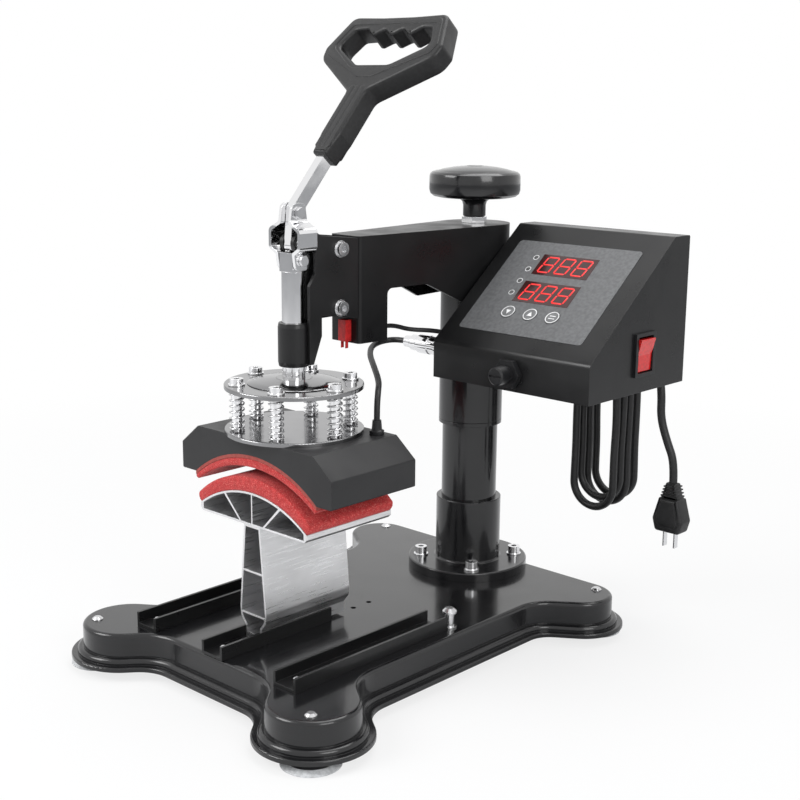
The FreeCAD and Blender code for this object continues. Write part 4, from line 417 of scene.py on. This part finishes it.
def brushedMetal(name, colour, roughness, stretch, edge=0.0004, depth=0.00003):
    finish, tree, shader, place = startFinish(name, colour, roughness, 1.0)
    lines = noiseOf(tree, place, 900, 3.0, stretch)
    cloud = noiseOf(tree, place, 18, 3.0)
    tree.links.new(ranged(tree, lines, roughness * 0.7, roughness * 1.4), shader.inputs["Roughness"])
    dark = tuple(c * 0.86 for c in colour)
    tree.links.new(shaded(tree, ranged(tree, cloud, 0.0, 1.0), dark, colour), shader.inputs["Base Color"])
    bumped(tree, shader, lines, depth, 0.3, softEdge(tree, edge))
    return finish


def plastic(name, colour, roughness, grain=1600, depth=0.00006, edge=0.0005, coat=0.0, gloss=0.4):
    finish, tree, shader, place = startFinish(name, colour, roughness, 0.0, coat, gloss)
    pores = tree.nodes.new("ShaderNodeTexVoronoi")
    pores.inputs["Scale"].default_value = grain
    tree.links.new(place, pores.inputs["Vector"])
    cloud = noiseOf(tree, place, 40, 4.0)
    tree.links.new(ranged(tree, cloud, roughness * 0.85, roughness * 1.2), shader.inputs["Roughness"])
    light = tuple(c * 1.35 + 0.002 for c in colour)
    tree.links.new(shaded(tree, ranged(tree, noiseOf(tree, place, 300, 3.0), 0.0, 1.0), colour, light),
                   shader.inputs["Base Color"])
    bumped(tree, shader, pores.outputs["Distance"], depth, 0.3, softEdge(tree, edge))
    return finish


def sponge(name, colour, pale, dark):
    # foamed silicone: fine open cells with paler specks
    finish, tree, shader, place = startFinish(name, colour, 0.82, 0.0, 0.0, 0.25)
    cells = tree.nodes.new("ShaderNodeTexVoronoi")
    cells.inputs["Scale"].default_value = 1100
    tree.links.new(place, cells.inputs["Vector"])
    speck = ranged(tree, noiseOf(tree, place, 1500, 2.0), 0.0, 1.0, 0.56, 0.7)
    cloud = ranged(tree, noiseOf(tree, place, 240, 4.0), 0.0, 1.0, 0.3, 0.7)
    first = shaded(tree, cloud, dark, colour)
    both = tree.nodes.new("ShaderNodeMix")
    both.data_type = "RGBA"
    both.inputs["B"].default_value = (*pale, 1)
    tree.links.new(speck, both.inputs["Factor"])
    tree.links.new(first, both.inputs["A"])
    tree.links.new(both.outputs["Result"], shader.inputs["Base Color"])
    bumped(tree, shader, cells.outputs["Distance"], 0.0003, 0.55)
    shader.inputs["Sheen Weight"].default_value = 0.15
    shader.inputs["Sheen Roughness"].default_value = 0.5
    return finish


def glow(name, colour, strength, roughness=0.3):
    finish, tree, shader, place = startFinish(name, colour, roughness)
    flicker = ranged(tree, noiseOf(tree, place, 500, 2.0), 0.85, 1.0)
    dim = tuple(c * 0.8 for c in colour)
    lit = shaded(tree, flicker, dim, colour)
    tree.links.new(lit, shader.inputs["Base Color"])
    tree.links.new(lit, shader.inputs["Emission Color"])
    shader.inputs["Emission Strength"].default_value = strength
    return finish


finish = {
    "blackPaint": paint("blackPaint", (0.008, 0.008, 0.0085), 0.34, 0.1, 1100, 0.00005, 0.0009),
    "armPaint": paint("armPaint", (0.006, 0.006, 0.0065), 0.33, 0.0, 700, 0.00006, 0.0009, 0.4, 0.3),
    "blackGloss": paint("blackGloss", (0.006, 0.006, 0.007), 0.2, 0.35, 380, 0.00007, 0.0009, 0.35, 0.4),
    "platenPaint": paint("platenPaint", (0.019, 0.019, 0.020), 0.42, 0.0, 1400, 0.00006, 0.0012),
    "greyPlate": brightMetal("greyPlate", (0.27, 0.27, 0.275), 0.13, 0.0005),
    "chrome": brightMetal("chrome", (0.82, 0.82, 0.83), 0.09),
    "zinc": brightMetal("zinc", (0.66, 0.66, 0.67), 0.22),
    "springSteel": brightMetal("springSteel", (0.72, 0.72, 0.73), 0.14),
    "formAluminium": brushedMetal("formAluminium", (0.80, 0.80, 0.81), 0.36, (1, 0.03, 1)),
    "redSponge": sponge("redSponge", (0.60, 0.045, 0.045), (0.86, 0.30, 0.26), (0.42, 0.02, 0.022)),
    "heaterMat": plastic("heaterMat", (0.30, 0.055, 0.045), 0.6),
    "cordRubber": plastic("cordRubber", (0.008, 0.008, 0.0085), 0.42, 2400, 0.00004),
    "footRubber": plastic("footRubber", (0.013, 0.013, 0.014), 0.5),
    "paleRubber": plastic("paleRubber", (0.62, 0.63, 0.64), 0.3, 1200, 0.00003),
    "blackPlastic": plastic("blackPlastic", (0.009, 0.009, 0.010), 0.34),
    "gripPlastic": plastic("gripPlastic", (0.010, 0.010, 0.0105), 0.40, 1500, 0.0001, 0.0008),
    "knobPlastic": plastic("knobPlastic", (0.008, 0.008, 0.009), 0.2, 2600, 0.00002, 0.0006, 0.4),
    "panelGrey": plastic("panelGrey", (0.115, 0.117, 0.12), 0.42, 2000, 0.00003, 0.0004),
    "window": plastic("window", (0.035, 0.006, 0.006), 0.12, 2600, 0.00001, 0.0003, 0.5),
    "buttonGrey": plastic("buttonGrey", (0.15, 0.152, 0.155), 0.4),
    "lampDark": plastic("lampDark", (0.10, 0.10, 0.10), 0.2, 2600, 0.00001, 0.0003, 0.4),
    "whiteInk": plastic("whiteInk", (0.72, 0.72, 0.72), 0.5, 3000, 0.00001, 0.0002),
    "redLed": glow("redLed", (0.75, 0.03, 0.03), 0.55),
    "redLens": plastic("redLens", (0.55, 0.012, 0.012), 0.16, 2600, 0.00002, 0.0006, 0.5),
    "switchRed": plastic("switchRed", (0.5, 0.02, 0.02), 0.35),
}

finishOf = {
    "blackGloss": ("base_pan", "column_flange", "column_tube", "swivel_bush", "swivel_sleeve"),
    "armPaint": ("arm_shell",),
    "blackPaint": ("tool_channels", "front_bracket", "control_box", "box_back", "cord_hook", "guide_sleeve",
                   "column_nut"),
    "platenPaint": ("platen_housing",),
    "greyPlate": ("top_disc", "lower_disc"),
    "chrome": ("flange_bolts", "spring_rods", "lever_bar", "toggle_links", "plunger_tube", "plunger_block",
               "fulcrum_pin", "crank_pin", "plunger_pin", "thrust_nut", "heater_connector", "plug_blades"),
    "zinc": ("lift_screw", "bracket_bolts", "foot_screws", "locating_screw", "stop_screws"),
    "springSteel": ("pressure_springs",),
    "formAluminium": ("cap_form", "stand_post"),
    "redSponge": ("upper_pad", "lower_pad"),
    "heaterMat": ("heating_mat",),
    "cordRubber": ("cord_hank", "cord_tail", "heater_cable", "sensor_cable", "power_plug", "cord_gland"),
    "footRubber": ("foot_cups",),
    "paleRubber": ("foot_rings",),
    "blackPlastic": ("rocker_bezel", "fuse_holder", "cable_gland"),
    "gripPlastic": ("lever_grip",),
    "knobPlastic": ("pressure_knob",),
    "panelGrey": ("panel_plate",),
    "window": ("digit_displays",),
    "lampDark": ("indicator_lamps",),
    "buttonGrey": ("down_button", "up_button", "set_button"),
    "redLens": ("power_rocker",),
    "switchRed": ("microswitch",),
}


def dress(piece, name):
    piece.data.materials.clear()
    piece.data.materials.append(finish[name])


for name, nodes in finishOf.items():
    for node in nodes:
        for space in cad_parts[node].material_slots:
            space.material = finish[name]
print("finishes laid on", sum(len(nodes) for nodes in finishOf.values()), "nodes")


# moulded plug on the lead's end

plug = {
    "at": (219, 66, 124), "depth": 20.0, "neckDepth": 13.0,
    "neck": [(-5.8, 0, 1.5), (5.8, 0, 1.5), (11.0, -18, 1), (-11.0, -18, 1)],
    "ribs": (-3.6, -7.0, -10.4, -13.8), "ribHalf": 0.8, "neckLeast": 6.1, "neckSlope": 0.3,
    "shell": [(-11.2, -16, 1.5), (11.2, -16, 1.5), (17.9, -39, 6), (14.2, -52, 4), (-14.2, -52, 4),
              (-17.9, -39, 6)],
    "face": [(-7.4, -19, 1.5), (7.4, -19, 1.5), (11.6, -40, 3), (10.4, -45, 3), (-10.4, -45, 3),
             (-11.6, -40, 3)],
}


def makePlug(plug):
    turn = Matrix.Translation(fromColumn(*plug["at"])) @ Matrix.Rotation(math.radians(90), 4, "X")
    pieces = [cutShape("plugNeck", [roundCorners(plug["neck"])], plug["neckDepth"], 3.6, turn, 3),
              cutShape("plugShell", [roundCorners(plug["shell"])], plug["depth"], 3.2, turn, 4),
              cutShape("plugFace", [roundCorners(plug["face"])], plug["depth"] + 0.7, 0.5, turn, 2)]
    for y in plug["ribs"]:
        half, thick = plug["neckLeast"] - plug["neckSlope"] * y, plug["ribHalf"]
        bar = [(-half, y - thick, 0.7), (half, y - thick, 0.7), (half, y + thick, 0.7), (-half, y + thick, 0.7)]
        pieces.append(cutShape("plugRib", [roundCorners(bar, 3)], plug["neckDepth"] + 1.6, 0.7, turn, 2))
    whole = joinAll(pieces, "mouldedPlug")
    dress(whole, "cordRubber")
    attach(whole, "arm")
    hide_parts("power_plug")
    return whole


mouldedPlug = makePlug(plug)
print("plug moulded")


# cords: their finish, the CAD cords they stand for hidden, and two of them hung on the arm

for cord, body, route, nodes in (
        (mainsCord, "arm", mainsLead, ("cord_hank", "cord_tail")),
        (heaterCable, "arm", heaterLead, ("heater_cable",)),
        (sensorCable, "arm", sensorLead, ("sensor_cable",))):
    cord.data.materials.append(finish["cordRubber"])
    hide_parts(*nodes)
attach(mainsCord, "arm")
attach(sensorCable, "arm")
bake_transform(heaterCable)


# hand grip

grip = {
    "lean": 49, "at": (0, -157.3, 523.8), "depth": 22, "edge": 3.2,
    "outside": [(-8.6, -95, 2), (8.6, -95, 2), (12.5, -71, 6), (12.5, -20, 9), (74, 20, 16), (77, 34, 8),
                (62, 74, 11), (20, 72.2, 30), (-20, 72.2, 30), (-62, 74, 11), (-77, 34, 8), (-74, 20, 16),
                (-12.5, -20, 9), (-12.5, -71, 6)],
    "hole": [(-22, 12.5, 16), (22, 12.5, 16), (60, 36, 9), (50, 57, 4), (38, 58, 5), (27, 50, 1), (24, 50, 1),
             (14, 57, 5), (3, 50, 1), (0, 50, 1), (-10, 57, 5), (-21, 50, 1), (-24, 50, 1), (-34, 58, 5),
             (-50, 57, 4), (-60, 36, 9)],
    "fieldOut": [(8.6, -4, 6), (68, 25, 10), (71, 35, 6), (58.5, 68.5, 7), (20, 67, 30), (-20, 67, 30),
                 (-58.5, 68.5, 7), (-71, 35, 6), (-68, 25, 10), (-8.6, -4, 6)],
    "fieldIn": [(-25, 7.5, 16), (25, 7.5, 16), (65.5, 35, 9), (54.5, 62.5, 5), (-54.5, 62.5, 5),
                (-65.5, 35, 9)],
    "rib": [(-2.6, -88, 2.5), (2.6, -88, 2.5), (2.6, -14, 2.5), (-2.6, -14, 2.5)],
}


def makeGrip(grip):
    turn = Matrix.Translation(fromColumn(*grip["at"])) @ Matrix.Rotation(math.radians(grip["lean"]), 4, "X")
    half = grip["depth"] / 2
    loop = cutShape("gripLoop", [roundCorners(grip["outside"]), roundCorners(grip["hole"])[::-1]],
                    grip["depth"], grip["edge"], turn, 3)
    extras = []
    for side in (-1, 1):
        raised = turn @ Matrix.Translation((0, 0, side * (half - 0.4) * mm))
        extras.append(cutShape("gripField", [roundCorners(grip["fieldOut"]), roundCorners(grip["fieldIn"])[::-1]],
                               2.2, 0.5, raised, 2))
        for x in (-7.0, 0, 7.0):
            low = raised @ Matrix.Translation((x * mm, 0, -side * 0.2 * mm))
            extras.append(cutShape("gripRib", [roundCorners(grip["rib"])], 1.6, 0.6, low, 2))
    whole = joinAll([loop] + extras, "handGrip")
    dress(whole, "gripPlastic")
    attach(whole, "lever")
    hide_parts("lever_grip")


makeGrip(grip)
print("hand grip made")


# pressure knob

knob = {
    "at": (0, 0, 386.6),
    "profile": [(0, 0), (11, 0), (12, 1), (12, 12), (13, 15.5), (16, 18.5), (21, 19.6), (38, 20.2), (43.5, 21.4),
                (46.8, 24), (48, 28), (48, 42), (47.2, 44.6), (45, 46.6), (42, 47.4), (41, 47.0), (40, 47.6),
                (34, 49.4), (24, 51.3), (14, 52.4), (9.2, 52.6), (8.6, 51.6), (8.0, 52.4), (7.4, 53), (0, 53)],
}
knobWheel = turnProfile("knobWheel", fromColumn(*knob["at"]), knob["profile"], 80, 30)
dress(knobWheel, "knobPlastic")
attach(knobWheel, "knob")
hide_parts("pressure_knob")
print("pressure knob made")


# springs

spring = {"radius": 6.7, "wire": 0.8, "low": 203.5, "high": 240.5, "closed": 1.0, "open": 6.0, "perTurn": 12,
          "circle": 55, "lowSleeve": [(4.1, 203.6), (4.8, 203.6), (4.8, 231.8), (4.1, 231.8), (4.1, 203.6)],
          "highSleeve": [(5.05, 230.8), (5.5, 230.8), (5.5, 241.3), (5.05, 241.3), (5.05, 230.8)]}
headY = -260.3


def makeSprings(spring):
    closedPitch = spring["wire"] * 2.16
    span = spring["high"] - spring["low"] - 2 * closedPitch
    turns = 2 * spring["closed"] + spring["open"]
    points = []
    for i in range(int(turns * spring["perTurn"]) + 1):
        turn = i / spring["perTurn"]
        up = min(turn, spring["closed"]) * closedPitch
        up += max(0.0, min(turn - spring["closed"], spring["open"])) * span / spring["open"]
        up += max(0.0, turn - spring["closed"] - spring["open"]) * closedPitch
        angle = 2 * math.pi * turn
        wide = spring["radius"] / math.cos(math.pi / spring["perTurn"])
        points.append((wide * math.cos(angle), headY + wide * math.sin(angle), spring["low"] + up))
    coil = makeCord("springCoil", points, spring["wire"])
    coil.data.bevel_resolution = 2
    coil.data.resolution_u = 2
    pick(coil)
    bpy.ops.object.convert(target="MESH")
    coil = bpy.context.object
    soften(coil, 60)
    coils = []
    for i in range(6):
        angle = math.radians(60 * i)
        move = Matrix.Translation(Vector((math.cos(angle), math.sin(angle), 0)) * spring["circle"] * mm)
        coils.append(copyOf(coil, f"springCoil{i}", move))
    bpy.data.objects.remove(coil)
    whole = joinAll(coils, "springCoils")
    dress(whole, "springSteel")
    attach(whole, "platen")
    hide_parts("pressure_springs")
    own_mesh(whole)


def makeSleeves(name, profile, body):
    # a tube round each spring's rod
    one = turnProfile(name, fromColumn(spring["circle"], headY, 0), profile, 28, 40)
    tubes = []
    for i in range(6):
        middle = fromColumn(0, headY, 0)
        turn = Matrix.Translation(middle) @ Matrix.Rotation(math.radians(60 * i), 4, "Z")
        tubes.append(copyOf(one, f"{name}{i}", turn @ Matrix.Translation(-middle)))
    bpy.data.objects.remove(one)
    whole = joinAll(tubes, name)
    dress(whole, "chrome")
    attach(whole, body)


makeSprings(spring)
makeSleeves("lowSleeves", spring["lowSleeve"], "platen")
makeSleeves("highSleeves", spring["highSleeve"], "plunger")
print("springs wound")


# pressed dome on the upper plate

dome = [(17.2, 245.55), (44, 245.55), (44.6, 246.0), (43.5, 246.8), (36, 248.3), (26, 249.6), (18, 250.3),
        (17.2, 250.4), (17.2, 245.55)]
plateDome = turnProfile("plateDome", fromColumn(0, headY, 0), dome, 72, 40)
dress(plateDome, "greyPlate")
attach(plateDome, "plunger")
print("dome pressed")


# silicone pads

pads = {
    "upper": {"half": (85, 82), "end": (149, 145), "top": (179.5, 171.5), "rear": -203.9, "depth": 108.8,
              "node": "upper_pad", "body": "platen", "swell": 0.9},
    "lower": {"half": (75, 78), "end": (123.6, 133.2), "top": (148.0, 162.5), "rear": -205.6, "depth": 109.6,
              "node": "lower_pad", "body": "cap_stand", "swell": 1.2},
}


def archHeight(x, half, end, top):
    rise = top - end
    radius = (half * half + rise * rise) / (2 * rise)
    return top - radius + math.sqrt(max(radius * radius - x * x, 0))


def makePad(name, pad):
    # a slab bent over an arch: a grid lifted in three layers, then laid between its two arcs
    freeHands()
    bpy.ops.mesh.primitive_grid_add(x_subdivisions=56, y_subdivisions=28, size=1, location=(0, 0, 0))
    piece = bpy.context.object
    piece.name = name
    piece.data.name = name
    bpy.ops.object.mode_set(mode="EDIT")
    bpy.ops.mesh.select_all(action="SELECT")
    for _ in range(4):
        bpy.ops.mesh.extrude_region_move(TRANSFORM_OT_translate={"value": (0, 0, 0.25)})
    bpy.ops.object.mode_set(mode="OBJECT")
    for vertex in piece.data.vertices:
        u, v, w = vertex.co.x * 2, vertex.co.y, vertex.co.z
        low = archHeight(u * pad["half"][0], pad["half"][0], pad["end"][0], pad["top"][0])
        high = archHeight(u * pad["half"][1], pad["half"][1], pad["end"][1], pad["top"][1])
        x = u * (pad["half"][0] + (pad["half"][1] - pad["half"][0]) * w)
        z = low + (high - low) * w
        round_ = 4 * w * (1 - w)
        x += math.copysign(pad["swell"] * round_, u) if abs(u) > 0.999 else 0
        y = pad["rear"] - pad["depth"] / 2 + v * pad["depth"]
        y += math.copysign(pad["swell"] * round_, v) * 0.6 if abs(v) > 0.4999 else 0
        vertex.co = fromColumn(x, y, z)
    cleanMesh(piece)
    useModifier(piece, "BEVEL", width=0.0012, segments=3, limit_method="ANGLE", angle_limit=math.radians(50))
    soften(piece, 60)
    dress(piece, "redSponge")
    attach(piece, pad["body"])
    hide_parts(pad["node"])


makePad("upperPad", pads["upper"])
makePad("lowerPad", pads["lower"])
print("pads laid")


# marks, digits and rings on the sloping panel

panel = {
    "slope": 38.8, "foot": (0, -105.5, 271.6), "face": 0.3,
    "displayX": 97, "displayLows": (65, 103.5), "display": (67.5, 28.5),
    "digitSize": (13.5, 21.0), "digitPitch": 20.5, "slant": 8, "stroke": 1.75,
    "lampX": 89.5, "lampLow": 76, "lampPitch": 16.8, "lampRing": 3.3,
    "buttonX": 102, "buttonPitch": 27, "buttonLow": 50.3, "buttonRing": 7.4,
}


def panelTurn(lift):
    return (Matrix.Translation(fromColumn(*panel["foot"])) @ Matrix.Rotation(math.radians(panel["slope"]), 4, "X")
            @ Matrix.Translation((0, 0, lift * mm)))


def barPoints(x0, y0, x1, y1, width):
    # one lit bar with pointed ends
    start, end = Vector((x0, y0)), Vector((x1, y1))
    along = (end - start).normalized()
    side = Vector((-along.y, along.x)) * width / 2
    start, end = start + along * 0.35, end - along * 0.35
    return [start, start + along * width / 2 - side, end - along * width / 2 - side, end,
            end - along * width / 2 + side, start + along * width / 2 + side]


def makeDigits():
    wide, tall = panel["digitSize"]
    lean = math.tan(math.radians(panel["slant"]))
    outlines = []
    ends = [((0, 0), (1, 0)), ((0, 0.5), (1, 0.5)), ((0, 1), (1, 1)), ((0, 0), (0, 0.5)), ((0, 0.5), (0, 1)),
            ((1, 0), (1, 0.5)), ((1, 0.5), (1, 1))]
    for (ax, ay), (bx, by) in ends:
        a = (ax * wide + ay * tall * lean, ay * tall)
        b = (bx * wide + by * tall * lean, by * tall)
        outlines.append(barPoints(*a, *b, panel["stroke"]))
    one = cutShape("digit", outlines, 0.3, 0.05, panelTurn(panel["face"] + 0.28), 1)
    digits = []
    turn = panelTurn(0).to_3x3()
    for low in panel["displayLows"]:
        for i in range(3):
            x = panel["displayX"] + 5.0 + i * panel["digitPitch"]
            y = low + (panel["display"][1] - tall) / 2
            move = Matrix.Translation(turn @ (Vector((x, y, 0)) * mm))
            digits.append(copyOf(one, "digit", move))
    bpy.data.objects.remove(one)
    whole = joinAll(digits, "litDigits")
    dress(whole, "redLed")
    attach(whole, "arm")


def makePanelMarks():
    marks = []
    lift = panel["face"] + 0.06
    for i in range(4):
        y = panel["lampLow"] + i * panel["lampPitch"]
        marks.append([ringPoints(panel["lampX"], y, panel["lampRing"]),
                      ringPoints(panel["lampX"], y, panel["lampRing"] - 0.7)[::-1]])
    flat = cutShape("lampRings", [ring for pair in marks for ring in pair], 0.16, 0.02, panelTurn(lift), 1)
    dress(flat, "whiteInk")
    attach(flat, "arm")
    top = panel["face"] + 0.68
    for i, (name, body) in enumerate((("downMark", "down_key"), ("upMark", "up_key"), ("setMark", "set_key"))):
        x, y = panel["buttonX"] + i * panel["buttonPitch"], panel["buttonLow"]
        ring = [ringPoints(x, y, panel["buttonRing"]), ringPoints(x, y, panel["buttonRing"] - 0.9)[::-1]]
        if i < 2:
            way = -1 if i == 0 else 1
            ring.append([Vector((x - 3.1, y - 2.2 * way)), Vector((x + 3.1, y - 2.2 * way)),
                         Vector((x, y + 3.4 * way))][::way])
        else:
            ring += [[Vector((x - 3.4, y + lift_ - 0.5)), Vector((x + 3.4, y + lift_ - 0.5)),
                      Vector((x + 3.4, y + lift_ + 0.5)), Vector((x - 3.4, y + lift_ + 0.5))]
                     for lift_ in (-1.7, 1.7)]
        mark = cutShape(name, ring, 0.16, 0.02, panelTurn(top), 1)
        dress(mark, "whiteInk")
        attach(mark, body)


makeDigits()
makePanelMarks()
print("panel marked")


# floor, sky and lamps

def makeFloor():
    freeHands()
    bpy.ops.mesh.primitive_plane_add(size=14, location=(0, 0, 0))
    floor = bpy.context.object
    floor.name = "paleFloor"
    paper = bpy.data.materials.new("palePaper")
    paper.use_nodes = True
    tree = paper.node_tree
    shader = tree.nodes["Principled BSDF"]
    shader.inputs["Base Color"].default_value = (0.8, 0.8, 0.8, 1)
    shader.inputs["Roughness"].default_value = 0.9
    shader.inputs["Specular IOR Level"].default_value = 0.1
    white = tree.nodes.new("ShaderNodeEmission")
    white.inputs["Color"].default_value = (1, 1, 1, 1)
    path = tree.nodes.new("ShaderNodeLightPath")
    seen = tree.nodes.new("ShaderNodeMath")
    seen.operation = "MAXIMUM"
    tree.links.new(path.outputs["Is Camera Ray"], seen.inputs[0])
    tree.links.new(path.outputs["Is Transmission Ray"], seen.inputs[1])
    place = tree.nodes.new("ShaderNodeTexCoord")
    far = tree.nodes.new("ShaderNodeVectorMath")
    far.operation = "LENGTH"
    tree.links.new(place.outputs["Object"], far.inputs[0])
    part = tree.nodes.new("ShaderNodeMath")
    part.operation = "MULTIPLY"
    tree.links.new(seen.outputs[0], part.inputs[0])
    tree.links.new(ranged(tree, far.outputs["Value"], 0.78, 1.0, 0.3, 1.3), part.inputs[1])
    both = tree.nodes.new("ShaderNodeMixShader")
    tree.links.new(part.outputs[0], both.inputs["Fac"])
    tree.links.new(shader.outputs[0], both.inputs[1])
    tree.links.new(white.outputs[0], both.inputs[2])
    tree.links.new(both.outputs[0], tree.nodes["Material Output"].inputs["Surface"])
    floor.data.materials.append(paper)


def setSky():
    world = bpy.data.worlds.new("studioSky")
    scene.world = world
    world.use_nodes = True
    tree = world.node_tree
    soft = tree.nodes["Background"]
    soft.inputs["Color"].default_value = (0.95, 0.97, 1.0, 1)
    soft.inputs["Strength"].default_value = 0.45
    white = tree.nodes.new("ShaderNodeBackground")
    white.inputs["Color"].default_value = (1, 1, 1, 1)
    white.inputs["Strength"].default_value = 1.0
    path = tree.nodes.new("ShaderNodeLightPath")
    seen = tree.nodes.new("ShaderNodeMath")
    seen.operation = "MAXIMUM"
    tree.links.new(path.outputs["Is Camera Ray"], seen.inputs[0])
    tree.links.new(path.outputs["Is Transmission Ray"], seen.inputs[1])
    also = tree.nodes.new("ShaderNodeMath")
    also.operation = "MAXIMUM"
    tree.links.new(seen.outputs[0], also.inputs[0])
    tree.links.new(path.outputs["Is Glossy Ray"], also.inputs[1])
    both = tree.nodes.new("ShaderNodeMixShader")
    tree.links.new(also.outputs[0], both.inputs["Fac"])
    tree.links.new(soft.outputs[0], both.inputs[1])
    tree.links.new(white.outputs[0], both.inputs[2])
    tree.links.new(both.outputs[0], tree.nodes["World Output"].inputs["Surface"])


lamps = {
    "keyLamp": {"at": (-0.9, -1.5, 1.5), "size": 1.1, "power": 26},
    "sideLamp": {"at": (1.7, -0.5, 1.1), "size": 0.9, "power": 11},
    "topLamp": {"at": (0.1, 0.5, 2.0), "size": 1.4, "power": 20},
}


def hangLamps():
    aim = Vector((-0.02, 0.0, 0.28))
    for name, lamp in lamps.items():
        freeHands()
        bpy.ops.object.light_add(type="AREA", location=lamp["at"])
        light = bpy.context.object
        light.name = name
        light.data.size = lamp["size"]
        light.data.energy = lamp["power"]
        light.rotation_euler = (aim - Vector(lamp["at"])).to_track_quat("-Z", "Y").to_euler()


makeFloor()
setSky()
hangLamps()
scene.view_settings.view_transform = "Standard"
print("studio set")
